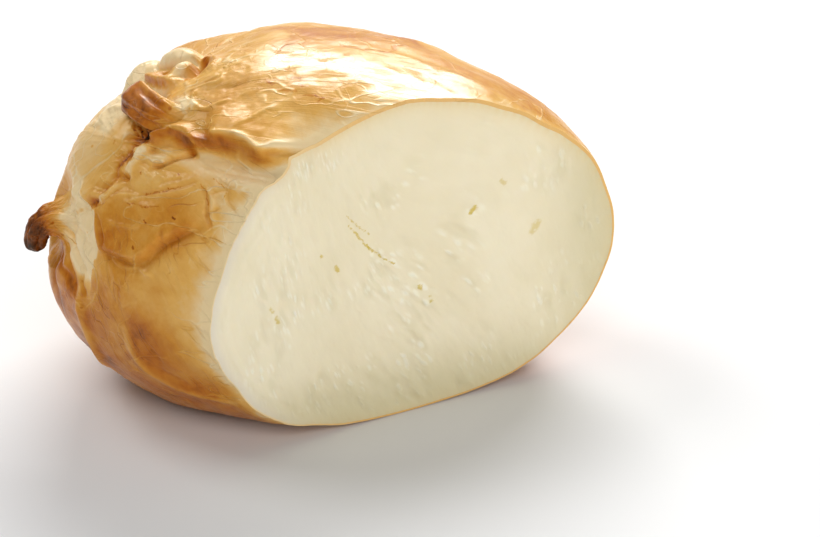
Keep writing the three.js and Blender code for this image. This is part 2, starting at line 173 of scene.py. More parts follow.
WRINKLES = [
    Wrinkle([(-83, 38.5), (-78, 39.5), (-73, 39.5)], -0.45, 0.5),
    Wrinkle([(-79, 35), (-74, 38), (-70, 42), (-67, 43.5)], -0.5, 0.45),
    Wrinkle([(-79, 27.5), (-68, 32.5), (-61, 36.5)], -0.3, 0.45),
    Wrinkle([(-80, 26), (-69, 31), (-62, 34.5)], 0.2, 0.5),
    Wrinkle([(-73, 32.5), (-67, 35.5)], -0.25, 0.4),
    Wrinkle([(-60, 35), (-57, 32.5), (-56, 29), (-54, 26), (-54, 24.5)], -0.5, 0.45),
    Wrinkle([(-58.5, 35), (-55.5, 32.5), (-54.5, 29), (-52.5, 26)], 0.3, 0.6),
    Wrinkle([(-56, 28.5), (-52, 31)], -0.3, 0.4),
    Wrinkle([(-85, 21), (-82, 20), (-78, 20.5), (-74, 21.5), (-72, 25), (-72, 26.5)], 0.25, 0.4),
    Wrinkle([(-87, 20.5), (-84, 18), (-82, 15.5), (-82, 12.5), (-81, 12)], -0.45, 0.4),
    Wrinkle([(-67, 22), (-67, 18.5)], -0.3, 0.35),
    Wrinkle([(-106, 11.5), (-97, 12), (-91, 8.5), (-89, 7)], -0.55, 0.6),
    Wrinkle([(-104, 13), (-92, 14.5), (-87, 13)], -0.4, 0.5),
    Wrinkle([(-105, 7.5), (-99, 4.5), (-94, 3), (-93, 0)], -0.5, 0.6),
    Wrinkle([(-88, 8), (-89, 3.5), (-87, 0.5)], -0.45, 0.5),
    Wrinkle([(-108, 35), (-113, 38.5), (-106, 43.5)], 0.5, 1),
    Wrinkle([(-98, 42), (-91, 41.5), (-87, 42)], -0.8, 0.6),
    Wrinkle([(-94, 43), (-88, 43)], -0.6, 0.5),
    Wrinkle([(-81.5, 13), (-78.5, 11.6), (-74.8, 11.3), (-72.1, 12.1), (-66.9, 10.7)], 0.4, 0.4),
    Wrinkle([(-85.4, 20.8), (-84.7, 25), (-81.7, 27.3), (-76.3, 28.2)], 0.4, 0.45),
    Wrinkle([(-85.6, 57.7), (-83.5, 55.6), (-79.4, 53.9), (-77.2, 51.5)], 0.45, 0.5),
    Wrinkle([(-97, 39), (-91, 40), (-87, 41.5)], -0.6, 0.5),
    Wrinkle([(-99, 36), (-92, 38), (-88, 41)], 0.4, 0.6),
    Wrinkle([(-89, 57.5), (-86, 60.5), (-83, 64)], -0.25, 0.4),
    Wrinkle([(-88.6, 56.4), (-86.7, 59), (-82.9, 61.2), (-80, 62.8), (-83.7, 65.6)], 0.35, 0.4),
    Wrinkle([(-81, 54.3), (-76.4, 53.9), (-72.8, 54.2), (-70.4, 55.7), (-64.7, 59)], 0.35, 0.4),
    Wrinkle([(-54.5, 52), (-50.3, 54.2), (-43.3, 58.2), (-38.2, 59.1)], 0.4, 0.45),
    Wrinkle([(-57, 33.5), (-53, 35), (-51, 35.5)], -0.3, 0.35),
    Wrinkle([(-51, 35.5), (-50, 32.5), (-47, 30.5)], -0.35, 0.4),
    Wrinkle([(60, 83.5), (48, 75), (45, 66), (48, 59.5), (47, 53), (45, 46.5)], -0.25, 0.4),
    Wrinkle([(-69, -7), (-67, -11.5), (-68, -17)], -0.3, 0.45),
    Wrinkle([(-69, -13.5), (-65, -16.5), (-61, -19)], -0.25, 0.4),
    Wrinkle([(-56, -6), (-52, -7), (-50, -9.5)], -0.25, 0.4),
    Wrinkle([(-64, 48.6), (-58, 50), (-52, 50.3), (-47.5, 49.2)], 0.4, 0.5),
    Wrinkle([(-53, 50), (-48, 49.4), (-42.8, 47.2), (-38, 47.8), (-31, 48)], 0.6, 0.6),
    Wrinkle([(-70, 42), (-58, 43.5), (-44, 42.5), (-33, 41)], 0.25, 0.6),
    Wrinkle([(-66, 40.5), (-54, 40), (-42, 39), (-33, 37.5)], -0.25, 0.4),
]

# A lobe grows out of the skin at a place, long towards another, its centre "sit" above the skin.
Lobe = namedtuple("Lobe", "place towards sit long wide out lean")

LOBES = [
    # the roll behind the ear, the knob above it with its tooth, and the bump beside the ear
    Lobe((-134, 44), (-141, 48), -1.4, 5.2, 3.6, 3.7, 0.2),
    Lobe((-132, 55.5), (-125, 60), -1.4, 6, 3.6, 3.4, 0.2),
    Lobe((-112, 57.5), (-117, 61), -1.4, 3.5, 2, 2.2, 0.2),
    Lobe((-84, 51.6), (-79, 53), -1.6, 2.6, 2.4, 2.3, 0),
    # above the root of the tail
    Lobe((-108, 17), (-101, 19.5), -1.6, 4.2, 3, 3.6, 0.1),
]
LOBE_BLEND = 2.2  # how softly a lobe joins the skin

# --- skin drawn out into a tail and an ear ----------------------------------------------------------
# Skin within reach of the root is drawn along a line of points. radii holds the half width and the
# half thickness at shares of that line, blend is the share over which it leaves the body, and cap
# the share of its rounded end.
Drawn = namedtuple("Drawn", "root reach line radii side blend cap")

TAIL_ROOT = np.array([-45.0, 11.8, 38.0])
TAIL_BEARING = -114.0
TAIL_LINE = [(-3, -1), (2.6, 0.2), (6.2, -0.8), (7.4, -3.8), (6.6, -6)]  # out, up
TAIL_RADII = [(0, 6.5, 6.5), (0.2, 4.9, 4.9), (0.42, 3.3, 3.3), (0.62, 2.5, 2.5), (1, 2.1, 2.1)]
TAIL_REACH = 9.0

EAR_ROOT = (-84.5, 48.2)
# bearing, elevation and height over the skin
EAR_LINE = [(-80.5, 47.3, -1.6), (-82.5, 47.2, 0.6), (-87, 46.9, 1.7), (-94, 46.7, 2.1),
            (-102, 46.1, 2.2), (-110, 44.9, 1.7)]
EAR_RADII = [(0, 2.4, 1.1), (0.2, 3, 1.2), (0.45, 3.3, 1.5), (0.7, 3.4, 1.8), (1, 3.2, 1.8)]
EAR_REACH = 3.3
EAR_HEAD = 0.75  # share of its length where the thick end begins

# tones of both pieces
TAIL_TONE = 0.2
TAIL_TIP_TONE = 0.4  # added towards the burnt tip
EAR_TONE = 0.38
EAR_HEAD_TONE = 0.08  # added at its thick end
EAR_EDGE_PALE_AND_HIGHLIGHT = 0.3  # taken off along its upper edge: a pale lip, made paler still as a painted highlight

# lengthwise folds of both, as shares of their half widths
RIPPLE = 0.09
ROOT_RIPPLE = 0.07
ROOT_RIPPLE_REACH = 0.45
ROUGH_RIPPLE = 0.1

# --- tone of the skin ---------------------------------------------------------------------------------
# A patch makes the skin paler (below 0) or more toasted along a line, with its half widths.
Patch = namedtuple("Patch", "line tone left right")

PATCHES = [
    # bare pale skin beside the tail, ending at the edge of the panel
    Patch([(-90, 19.5), (-87, 17.5), (-85, 14), (-85, 11)], -0.5, 0.7, 6.5),
    Patch([(-98, 13.5), (-94, 9.5), (-89, 8)], -0.4, 3.2, 3.2),
    # the big fold: its crest paler as painted highlight, its face darker as painted shade; the pale
    # valley
    Patch([(-61, 50), (-48, 50), (-42.6, 48), (-30, 48.6)], -0.14, 0.8, 0.8),
    Patch([(-65, 46), (-55, 46.9), (-48, 46), (-42, 44.7), (-36, 44.3), (-28, 44.4)],
          0.26, 2, 1.5),
    Patch([(-66, 42.4), (-53, 41.8), (-42, 40.2), (-32, 38.5)], -0.34, 1.4, 3.4),
    Patch([(-80, 33), (-66, 36), (-52, 35)], -0.12, 5, 6),
    # the lip at the end of the seam and the facet under it
    Patch([(-84.5, 42), (-82, 44), (-78.5, 45.4), (-75, 45.6), (-70, 45.2)], 0.34, 0.6, 1.8),
    Patch([(-80, 39.2), (-72, 41)], -0.14, 1.2, 2.2),
    # the smooth skin over the seam, the roll, the knob, the bowl and the bump by the ear
    Patch([(-104, 24), (-107, 32), (-112, 38)], -0.2, 7, 7),
    Patch([(-104.7, 36.4), (-108, 38.1), (-107.2, 40.9)], -0.14, 1.6, 2.2),
    # the roll and the knob: pale skin, paler still as a painted highlight
    Patch([(-128, 44), (-140, 46)], -0.34, 4, 4),
    Patch([(-134, 54), (-124, 58)], -0.34, 4, 3),
    Patch([(-116, 46), (-104, 51)], -0.26, 2, 3),
    Patch([(-86.5, 50.6), (-82, 52.4)], -0.32, 2.2, 1.8),
    Patch([(-86, 57), (-82.5, 55), (-80, 52.2)], 0.1, 1, 0.8),
    # the knob's tooth: pale, paler still as a painted highlight
    Patch([(-110, 58.5), (-116, 60)], -0.32, 2, 2),
    # the pockets and the hollow under the ear, darkened as painted shade, and the seam with its pale
    # flaps
    # painted shade in the pockets under the ledge and the knob
    Patch([(-122, 48.6), (-113, 50.9), (-106, 53)], 0.28, 0.7, 1.1),
    Patch([(-121, 53), (-111, 57)], 0.16, 1.2, 1.2),
    Patch([(-103, 59), (-107, 60.7), (-113, 62.2), (-121, 63.3)], 0.3, 1.3, 1.3),
    # painted shade in the hollow under the ear
    Patch([(-92, 39), (-88, 43)], 0.25, 1.6, 1.6),
    Patch([(-91, 22), (-88.5, 25), (-87.6, 30), (-88, 34), (-87, 38), (-85.5, 42)], 0.1, 1.6, 1.3),
    Patch([(-88.4, 30.8), (-88.6, 34.6)], 0.1, 0.9, 0.9),
    # painted shade in a hole of the seam
    Patch([(-85.6, 30.2), (-84.4, 30.6)], 0.2, 0.7, 0.7),
    Patch([(-94, 21), (-89.6, 23.6)], -0.12, 1.2, 1.2),
    Patch([(-88, 23.6), (-86.2, 26.6), (-86, 29.4)], -0.24, 0.7, 0.8),
    Patch([(-84, 31.2), (-84.6, 34.9), (-84.6, 38)], -0.24, 0.8, 1),
    Patch([(-97, 39), (-92, 40)], -0.12, 1.2, 1.2),
    # the panel and the low skin; the low patches are darker as painted shade
    Patch([(-83, 18), (-74, 19), (-65, 25)], 0.12, 6, 5),
    # painted shade: darker low skin, where little light reaches
    Patch([(-92, 2), (-80, 0), (-72, -6)], 0.14, 6, 6),
    Patch([(-98, 4), (-94, -4), (-92, -16)], 0.2, 8, 8),
    Patch([(-75, -10), (-62, -20), (-45, -30)], 0.1, 9, 9),
    Patch([(-56, 3), (-54, -8)], -0.1, 6, 5),
    Patch([(-60, 16), (-50, 18)], -0.06, 5, 5),
    # pale crests of the low veins
    Patch([(-90, 2), (-88, -8), (-89, -17), (-94, -27)], -0.24, 0.7, 0.7),
    Patch([(-75, -3), (-73, -13), (-65, -21), (-48, -24)], -0.2, 0.8, 0.8),
    # toasted skin behind the right end of the cut, and over the top towards the back
    Patch([(50, 52), (58, 40), (66, 30), (74, 8)], 0.18, 9, 9),
    Patch([(180, 82), (100, 74), (85, 58)], 0.26, 7, 8),
]
PATCH_POWER = 3.0
CREASE_SHADE = 0.1  # painted shade in the creases, per millimetre of depth
LIP_TONE = 0.02

# Torn scraps, dark specks, hair cracks, and pleats darkened as painted shade, with half width and depth
# of tone.
Scratch = namedtuple("Scratch", "line width tone")

SCRATCHES = [
    # torn scraps in the sheen over the top
    Scratch([(-53, 67.8), (-50, 67.2), (-46.5, 66.5)], 0.6, 0.2),
    Scratch([(-45, 73), (-36, 72.2)], 0.4, 0.2),
    Scratch([(-36, 69.6), (-28.5, 68.7)], 0.5, 0.2),
    Scratch([(-30, 67), (-27.6, 65.2)], 0.4, 0.2),
    Scratch([(-29.5, 77.3), (-23, 76.5)], 0.4, 0.2),
    Scratch([(-70.8, 76.6), (-60.3, 77.3)], 0.5, 0.2),
    Scratch([(-27.2, 62.3), (-21.6, 61.6), (-18, 60.3), (-20.6, 59.5)], 0.4, 0.2),
    Scratch([(-41.5, 64.5), (-31.5, 64)], 0.5, 0.2),
    # specks and hair cracks of the panel and above it
    Scratch([(-73.5, 16.8), (-73, 16.4)], 0.3, 0.3),
    Scratch([(-64.9, 25.9), (-64.5, 25.7)], 0.35, 0.35),
    Scratch([(-72.6, 23.1), (-72.2, 22.9)], 0.3, 0.3),
    Scratch([(-69.8, 32.2), (-69.3, 32)], 0.3, 0.3),
    Scratch([(-69.1, 36.3), (-68.6, 36.1)], 0.3, 0.35),
    Scratch([(-80.4, 33.2), (-79.8, 33)], 0.3, 0.3),
    Scratch([(-79.6, 25.6), (-73.8, 26.2), (-70.5, 27.5)], 0.25, 0.16),
    Scratch([(-76, 28.9), (-69.6, 31.5), (-66.6, 33.4)], 0.22, 0.25),
    Scratch([(-57.5, 37.7), (-54.3, 36.6), (-51.5, 35.7), (-51.6, 32.9)], 0.22, 0.25),
    Scratch([(-60.7, 35.5), (-58, 34), (-56.5, 30.9)], 0.22, 0.25),
    # pleats in the hollow under the ear: dark lines and a dark patch of painted shade
    Scratch([(-98.4, 41.5), (-96, 40.5), (-94.4, 39.9)], 0.4, 0.25),
    Scratch([(-96.4, 41.7), (-94, 41.2), (-91.9, 40.3)], 0.35, 0.3),
    Scratch([(-92.5, 42.9), (-89.8, 40.5)], 0.4, 0.3),
    Scratch([(-89.5, 42.3), (-86.9, 41.6)], 0.8, 0.28),
    Scratch([(-91.3, 39.3), (-86.5, 39.6)], 0.7, 0.16),
]

# the line over the top along which the skin is oily and smooth, and its half width
OILY = [(-70, 72), (-31, 74), (0, 65.5), (20, 57), (34, 50), (42, 43)]
OILY_WIDTH = 8.5

# the ragged seam that runs up from the tail to the ear
SEAM = [(-97, 15.5), (-92, 20), (-88.5, 24.5), (-87.5, 29.5), (-88, 33.5), (-87.5, 37.5),
        (-86.5, 42)]
SEAM_WIDTH = 2.4

# Fine relief: waves of noise over the sphere of directions, reaches in degrees from the gather, and
# heights, those of the pleats and the crumpled skin as shares of the pleat height.
PLEATS_AROUND = 4.2
PLEATS_ACROSS = 2.2
PLEATS_AWAY = 1.6
PLEAT_START = 14.0
PLEAT_REACH = 26.0
PLEAT_SHARE = 0.5
PLEAT_EVERYWHERE = 0.08
CRUMPLE_WAVES = 16.0
CRUMPLE_REACH = 60.0
CRUMPLE_SHARE = 0.16
CRUMPLE_EVERYWHERE = 0.25
DENT_WAVES = 7.5
DENT_HEIGHT = 0.3
TORN_WAVES = 20.0
TORN_HEIGHT = 0.45
TORN_TONE = 0.4


def direction(bearing, elevation):
    b, e = math.radians(bearing), math.radians(elevation)
    return np.array([math.sin(b) * math.cos(e), -math.cos(b) * math.cos(e), math.sin(e)])


def unit(v):
    return v / (np.linalg.norm(v, axis=-1, keepdims=True) + 1e-12)


def smooth_step(t):
    t = np.clip(t, 0, 1)
    return t * t * (3 - 2 * t)


def smooth_max(a, b, softness):
    h = np.clip(0.5 + 0.5 * (a - b) / softness, 0, 1)
    return b + (a - b) * h + softness * h * (1 - h)


LONG_AXIS = direction(AXIS_BEARING, 0)
SIDE_AXIS = np.array([LONG_AXIS[1], -LONG_AXIS[0], 0])
GATHER_WAY = direction(*GATHER)


def egg_radius(d):
    """Distance of the plain egg's skin from the centre, along the unit vectors d."""
    along, across, up = d @ LONG_AXIS, d @ SIDE_AXIS, d[..., 2]
    length = np.where(along > 0, HALF_LENGTH_GATHER, HALF_LENGTH_FRONT)
    height = np.where(up > 0, HALF_HEIGHT_TOP, HALF_HEIGHT_BOTTOM)
    plan = np.abs(along / length) ** PLAN_EXPONENT + np.abs(across / HALF_WIDTH) ** PLAN_EXPONENT
    return 1 / np.sqrt(plan ** (2 / PLAN_EXPONENT) + (up / height) ** 2)


def curve_points(points, steps):
    """Points of a Catmull-Rom curve through the given ones."""
    p = np.array(points, float)
    p = np.vstack([2 * p[0] - p[1], p, 2 * p[-1] - p[-2]])
    found = []
    for a, b, c, e in zip(p, p[1:], p[2:], p[3:]):
        for t in np.arange(steps) / steps:
            bend = (2 * a - 5 * b + 4 * c - e) * t * t + (-a + 3 * b - 3 * c + e) * t**3
            found.append(0.5 * (2 * b + (c - a) * t + bend))
    return np.array(found + [p[-2]])


def nearest(d, line):
    """Distance along the skin, side and share of a line's nearest place, for each direction."""
    trace = unit(curve_points([direction(*at) for at in line], 3))
    lengths = np.linalg.norm(np.diff(trace, axis=0), axis=1)
    share = np.concatenate([[0], np.cumsum(lengths)]) / lengths.sum()
    best, side = np.full(len(d), np.inf), np.zeros(len(d))
    away, along = [], []
    for i, (a, b) in enumerate(zip(trace, trace[1:])):
        t = np.clip((d - a) @ (b - a) / ((b - a) @ (b - a)), 0, 1)
        distance = SKIN_RADIUS * np.linalg.norm(d - unit(a + t[:, None] * (b - a)), axis=1)
        side = np.where(distance < best, d @ np.cross(a, b), side)
        best = np.minimum(best, distance)
        away.append(distance)
        along.append(share[i] + t * (share[i + 1] - share[i]))
    weight = np.exp((best - np.array(away)) / SHARE_SOFTNESS)
    return best, side, (weight * along).sum(0) / weight.sum(0)


TOUCHED_WIDTHS = 3.2  # half widths from a line past which its height is next to nothing


def close_to(d, line, width):
    """Indices of the directions that a line of that half width can touch."""
    ways = np.array([direction(*at) for at in line])
    middle = unit(ways.mean(0))
    reach = np.linalg.norm(ways - middle, axis=1).max() + TOUCHED_WIDTHS * width / SKIN_RADIUS
    return np.nonzero(np.linalg.norm(d - middle, axis=1) < reach)[0]


def profile_on(d, line, left, right, start=0.01, end=0.01, power=2.0):
    """1 on the line, falling to 0 over its half widths and faded at its two ends."""
    value = np.zeros(len(d))
    touched = close_to(d, line, max(left, right))
    distance, side, share = nearest(d[touched], line)
    x = distance / np.where(side > 0, left, right)
    fade = smooth_step(share / start) * smooth_step((1 - share) / end)
    value[touched] = np.exp(-(x**power)) * fade
    return value


def lobe_height(d, lobe, skin):
    """Height of a lobe over a skin that is that far from the centre."""
    up = direction(*lobe.place)
    towards = direction(*lobe.towards)
    lengthwise = unit(towards - up * (towards @ up))
    across = np.cross(up, lengthwise)
    reach = (egg_radius(up) + lobe.sit) / lobe.out
    u = np.stack([d @ lengthwise / lobe.long, d @ across / lobe.wide, d @ up / lobe.out], 1)
    a = (u * u).sum(1)
    b = u[:, 2] * reach
    root = b * b - a * (reach * reach - 1)
    hit = (root > 0) & (u[:, 2] > 0)
    far = np.where(hit, (b + np.sqrt(np.maximum(root, 0))) / a, 0)
    return np.where(hit & (far > skin - LOBE_BLEND), smooth_max(far, skin, LOBE_BLEND) - skin, 0)


def lumpiness(p):
    total = np.zeros(len(p))
    for i in range(LUMP_WAVES):
        way = unit(np.array([math.sin(2.4 * i + 0.3), math.cos(1.7 * i), math.sin(1.1 * i + 1.9)]))
        total += np.sin(p @ way * 2 * math.pi / (LUMP_LONGEST - LUMP_STEP * i) + 1.3 * i)
    return total * LUMP_HEIGHT


def gather_in(d):
    """Brings directions closer to the gather, so that the mesh is finest there."""
    cosine = np.clip(d @ GATHER_WAY, -1, 1)
    angle = np.arccos(cosine)
    away = unit(d - cosine[:, None] * GATHER_WAY)
    closer = (angle - GATHER_FINENESS * np.sin(angle))[:, None]
    return np.cos(closer) * GATHER_WAY + np.sin(closer) * away


def pleat_places(d):
    """Coordinates that run around and away from the gather without a seam, for pleats and streaks."""
    angle = np.arccos(np.clip(d @ GATHER_WAY, -1, 1))
    around = unit(d - (d @ GATHER_WAY)[:, None] * GATHER_WAY)
    return np.column_stack([around, angle]), angle


def field(places, octaves=4, offset=0.0):
    """Smooth noise at an array of places."""
    return np.array([noise.fractal(Vector(p) + Vector((offset,) * 3), 1.0, 2.0, octaves)
                     for p in places])


def ridges(places, octaves=3, offset=0.0):
    """Sharp crests of noise at an array of places, 0 to about 1."""
    return 1 - np.abs(np.array([noise.fractal(Vector(p) + Vector((offset,) * 3), 0.9, 2.0, octaves)
                                for p in places])) * 2.2


def within(angle, reach):
    """1 at the gather, falling softly to 0 at about twice the reach, in degrees."""
    return np.exp(-(angle / math.radians(reach)) ** 2)


def relief(d, rind):
    """Radial height of the fine folds: pleats out of the gather, low dents and ragged torn bits.

    Also returns how far the skin is torn, which makes it paler or darker.
    """
    places, angle = pleat_places(d)
    bent = places[:, :3] * PLEATS_AROUND + d * PLEATS_ACROSS + places[:, 3:] * PLEATS_AWAY
    near = within(angle, PLEAT_REACH) * (1 - within(angle, PLEAT_START))
    rough = CRUMPLE_EVERYWHERE + (1 - CRUMPLE_EVERYWHERE) * within(angle, CRUMPLE_REACH)
    pleats = ridges(bent, 3) * (PLEAT_EVERYWHERE + near) * PLEAT_SHARE
    crumpled = ridges(d * CRUMPLE_WAVES, 3, 9.0) * CRUMPLE_SHARE * rough
    dents = field(d * DENT_WAVES, 3, 4.0) * DENT_HEIGHT
    torn = profile_on(d, SEAM, SEAM_WIDTH, SEAM_WIDTH) * field(d * TORN_WAVES, 3, 2.0)
    fine = rind.pleat_height / MM * (pleats + crumpled) + dents + torn * TORN_HEIGHT
    return fine, torn


def skin(d, rind):
    """Places of the skin along the unit vectors d, and the tone of each."""
    plain = egg_radius(d)
    radius = plain + lumpiness(d * plain[:, None])
    for place, rise, width in SWELLS:
        x = SKIN_RADIUS * np.linalg.norm(d - direction(*place), axis=1) / width
        radius += rise * np.exp(-x * x)
    hang = np.zeros(len(d))
    tone = np.zeros(len(d))
    for fold in FOLDS:
        power = RIDGE_POWER if fold.rise > 0 else CREASE_POWER
        height = fold.rise * profile_on(d, fold.line, fold.left, fold.right, fold.start, fold.end,
                                        power)
        radius += height
        hang += height * fold.lean
        # creases darker as painted shade, raised folds a little darker
        tone += np.where(height < 0, -height * CREASE_SHADE, height * LIP_TONE)
    for lobe in LOBES:
        height = lobe_height(d, lobe, radius)
        radius += height
        hang += height * lobe.lean
    for wrinkle in WRINKLES:
        height = wrinkle.rise * profile_on(d, wrinkle.line, wrinkle.width, wrinkle.width,
                                           WRINKLE_FADE, WRINKLE_FADE)
        radius += height * rind.wrinkle_depth
        # grooves darker as painted shade; crests paler, partly wear and partly painted highlight
        tone += np.where(height < 0, -height * GROOVE_SHADE, height * CREST_WEAR_AND_HIGHLIGHT)
    for patch in PATCHES:
        tone += patch.tone * profile_on(d, patch.line, patch.left, patch.right, power=PATCH_POWER)
    fine, torn = relief(d, rind)
    radius += fine
    tone -= TORN_TONE * torn
    downhill = unit(np.column_stack([d[:, 2] * d[:, 0], d[:, 2] * d[:, 1], d[:, 2] ** 2 - 1]))
    places = CENTRE + d * radius[:, None] + downhill * hang[:, None]
    places[:, 2] = smooth_max(places[:, 2], 0.0, BASE_SOFTNESS)
    return places, tone


def turn_between(a, b):
    """Rotation that takes the unit vector a to b, as a matrix for rows."""
    return np.array(Vector(a).rotation_difference(Vector(b)).to_matrix()).T


def along_line(points, share):
    """Places and tangents at shares of a curve through the points, and its first tangent."""
    line = curve_points(points, 12)
    lengths = np.linalg.norm(np.diff(line, axis=0), axis=1)
    at = np.concatenate([[0], np.cumsum(lengths)]) / lengths.sum()
    slope = unit(np.gradient(line, axis=0))
    spine = np.column_stack([np.interp(share, at, line[:, k]) for k in range(3)])
    tangent = np.column_stack([np.interp(share, at, slope[:, k]) for k in range(3)])
    return spine, unit(tangent), slope[0]


def rippled(turn, share):
    """Lengthwise folds of a drawn piece, deepest at its root, as a factor on its half widths."""
    depth = RIPPLE + ROOT_RIPPLE * np.exp(-((share / ROOT_RIPPLE_REACH) ** 2))
    return 1 + depth * (np.sin(5 * turn + 2.5 * share) + 0.6 * np.sin(9 * turn - 5 * share + 1))


def drawn_out(d, places, piece):
    """Draws the skin around a root out along its line, in place.

    Returns for each direction the share of the line it reaches, and its side: 1 at the lower edge
    and -1 at the upper one.
    """
    root = direction(*piece.root)
    away = SKIN_RADIUS * np.linalg.norm(d - root, axis=1)
    inside = np.nonzero(away < piece.reach)[0]
    share = 1 - away[inside] / piece.reach
    spine, tangent, start = along_line(piece.line, share)
    across = unit(piece.side - tangent * (tangent @ piece.side)[:, None])
    upright = np.cross(tangent, across)
    flat = unit(d[inside] - root * (d[inside] @ root)[:, None]) @ turn_between(root, start)
    first = unit(piece.side - start * (start @ piece.side))
    turn = np.arctan2(flat @ np.cross(start, first), flat @ first)
    shares, wide, thick = np.array(piece.radii).T
    tip = np.sqrt(np.clip(1 - np.clip(1 - (1 - share) / piece.cap, 0, 1) ** 2, 0, 1))
    ripple = rippled(turn, share) + ROUGH_RIPPLE * field(d[inside] * 60, 2, 5.0)
    wide = np.interp(share, shares, wide) * tip * ripple
    thick = np.interp(share, shares, thick) * tip * ripple
    drawn = spine + across * (np.cos(turn) * wide)[:, None]
    drawn += upright * (np.sin(turn) * thick)[:, None]
    leave = smooth_step(share / piece.blend)[:, None]
    places[inside] = places[inside] * (1 - leave) + drawn * leave
    whole, side = np.zeros(len(d)), np.zeros(len(d))
    whole[inside] = share
    side[inside] = np.cos(turn)
    return whole, side


def tail_piece():
    out, up = direction(TAIL_BEARING, 0), np.array([0.0, 0.0, 1.0])
    line = [TAIL_ROOT + out * o + up * u for o, u in TAIL_LINE]
    seen = unit(TAIL_ROOT - CENTRE)
    root = (math.degrees(math.atan2(seen[0], -seen[1])), math.degrees(math.asin(seen[2])))
    return Drawn(root, TAIL_REACH, line, TAIL_RADII, np.cross(out, up), 0.4, 0.12)


def ear_piece():
    line = []
    for bearing, elevation, height in EAR_LINE:
        way = direction(bearing, elevation)
        line.append(CENTRE + way * (egg_radius(way) + height))
    side = np.cross(direction(*EAR_ROOT), unit(line[-1] - line[0]))
    return Drawn(EAR_ROOT, EAR_REACH, line, EAR_RADII, unit(side), 0.3, 0.3)


# --- meshes -------------------------------------------------------------------------------------------

INNER_RIM = "inner_rim"
RIM_DEPTH = 1.2 * MM  # how far the rind's edge turns in behind the cut


def sphere_of_directions(piece_roots):
    """A sphere that is finer around the gather, and finest where skin is drawn out."""
    bm = bmesh.new()
    bmesh.ops.create_icosphere(bm, subdivisions=7, radius=1.0)
    moved = gather_in(unit(np.array([v.co for v in bm.verts])))
    for v, co in zip(bm.verts, moved):
        v.co = co
    refine(bm, direction(*FINE_MIDDLE), math.radians(FINE_REACH))
    for root, reach in piece_roots:
        refine(bm, direction(*root), reach / SKIN_RADIUS)
    return bm


def refine(bm, way, angle):
    """Halves the edges within that angle of a direction."""
    way, limit = Vector(way), math.cos(angle)
    edges = [e for e in bm.edges if all(v.co.dot(way) > limit for v in e.verts)]
    bmesh.ops.subdivide_edges(bm, edges=edges, cuts=1, use_grid_fill=True)
    for v in bm.verts:
        v.co.normalize()


def write_layer(bm, name, values):
    layer = bm.verts.layers.float.new(name)
    for v, value in zip(bm.verts, values):
        v[layer] = float(value)


def write_vectors(bm, name, values):
    layer = bm.verts.layers.float_vector.new(name)
    for v, value in zip(bm.verts, values):
        v[layer] = Vector(value)


def make_object(bm, name):
    mesh = bpy.data.meshes.new(name)
    bm.to_mesh(mesh)
    bm.free()
    mesh.shade_smooth()
    piece = bpy.data.objects.new(name, mesh)
    bpy.context.scene.collection.objects.link(piece)
    return piece


def with_tail_tone(tone, share):
    """Tone of the skin with a toasted tail that is burnt at its tip."""
    toasted = smooth_step((share - 0.25) / 0.25)
    tail_tone = TAIL_TONE + TAIL_TIP_TONE * smooth_step((share - 0.45) / 0.3)
    return tone * (1 - toasted) + tail_tone * toasted


def with_ear_tone(tone, share, side):
    """Tone of the skin with a brown ear, darkest at its thick end, with a pale upper edge made paler
    still as a painted highlight.
    """
    rolled = smooth_step(share / 0.3)
    ear_tone = EAR_TONE + EAR_HEAD_TONE * smooth_step((share - EAR_HEAD) / 0.2)
    # pale upper edge, partly a painted highlight
    ear_tone -= EAR_EDGE_PALE_AND_HIGHLIGHT * smooth_step((-0.6 - side) / 0.35) * (share < EAR_HEAD)
    return tone * (1 - rolled) + ear_tone * rolled


def build_rind(settings):
    """The skin, open at the cut, with a narrow ring of its own thickness around the opening."""
    tail, ear = tail_piece(), ear_piece()
    fine = [(tail.root, tail.reach), (ear.root, ear.reach), (tail.root, tail.reach * 0.45)]
    bm = sphere_of_directions(fine)
    d = unit(np.array([v.co for v in bm.verts]))
    places, tone = skin(d, settings)
    tail_share, _ = drawn_out(d, places, tail)
    ear_share, ear_side = drawn_out(d, places, ear)
    tone = with_tail_tone(tone, tail_share)
    tone = with_ear_tone(tone, ear_share, ear_side)
    for v, co in zip(bm.verts, places * MM):
        v.co = co
    pleat, angle = pleat_places(d)
    write_layer(bm, "tone", tone)
    write_layer(bm, "drawn", smooth_step(np.maximum(tail_share, ear_share) / 0.3))
    write_layer(bm, "gather", within(angle, GATHER_REACH))
    write_layer(bm, "oily", profile_on(d, OILY, OILY_WIDTH, OILY_WIDTH, 0.1, 0.15, power=4.0))
    write_vectors(bm, "pleats", pleat[:, :3])
    write_layer(bm, "away", angle)
    open_at_cut(bm, settings)
    return make_object(bm, "rind")


def open_at_cut(bm, settings):
    """Cuts the skin off at the cut face and gives its edge a ring as wide as the rind is thick."""
    cut = -settings.cut_distance
    bmesh.ops.bisect_plane(bm, geom=bm.verts[:] + bm.edges[:] + bm.faces[:], dist=1e-7,
                           plane_co=(0, cut, 0), plane_no=(0, -1, 0), clear_outer=True)
    bmesh.ops.dissolve_degenerate(bm, edges=rim_edges(bm, cut), dist=0.06 * MM)
    inner_rim = bm.verts.layers.float.new(INNER_RIM)
    loop = in_order(rim_edges(bm, cut))
    inner = inset_places(loop, settings.rind_thickness)
    ring = drawn_in(bm, loop, inner)
    drawn_in(bm, ring, [co + Vector((0, RIM_DEPTH, 0)) for co in inner])
    for around in (loop, ring):
        for e in loop_edges(bm, around):
            e.smooth = False
    for v in ring:
        v[inner_rim] = 1.0


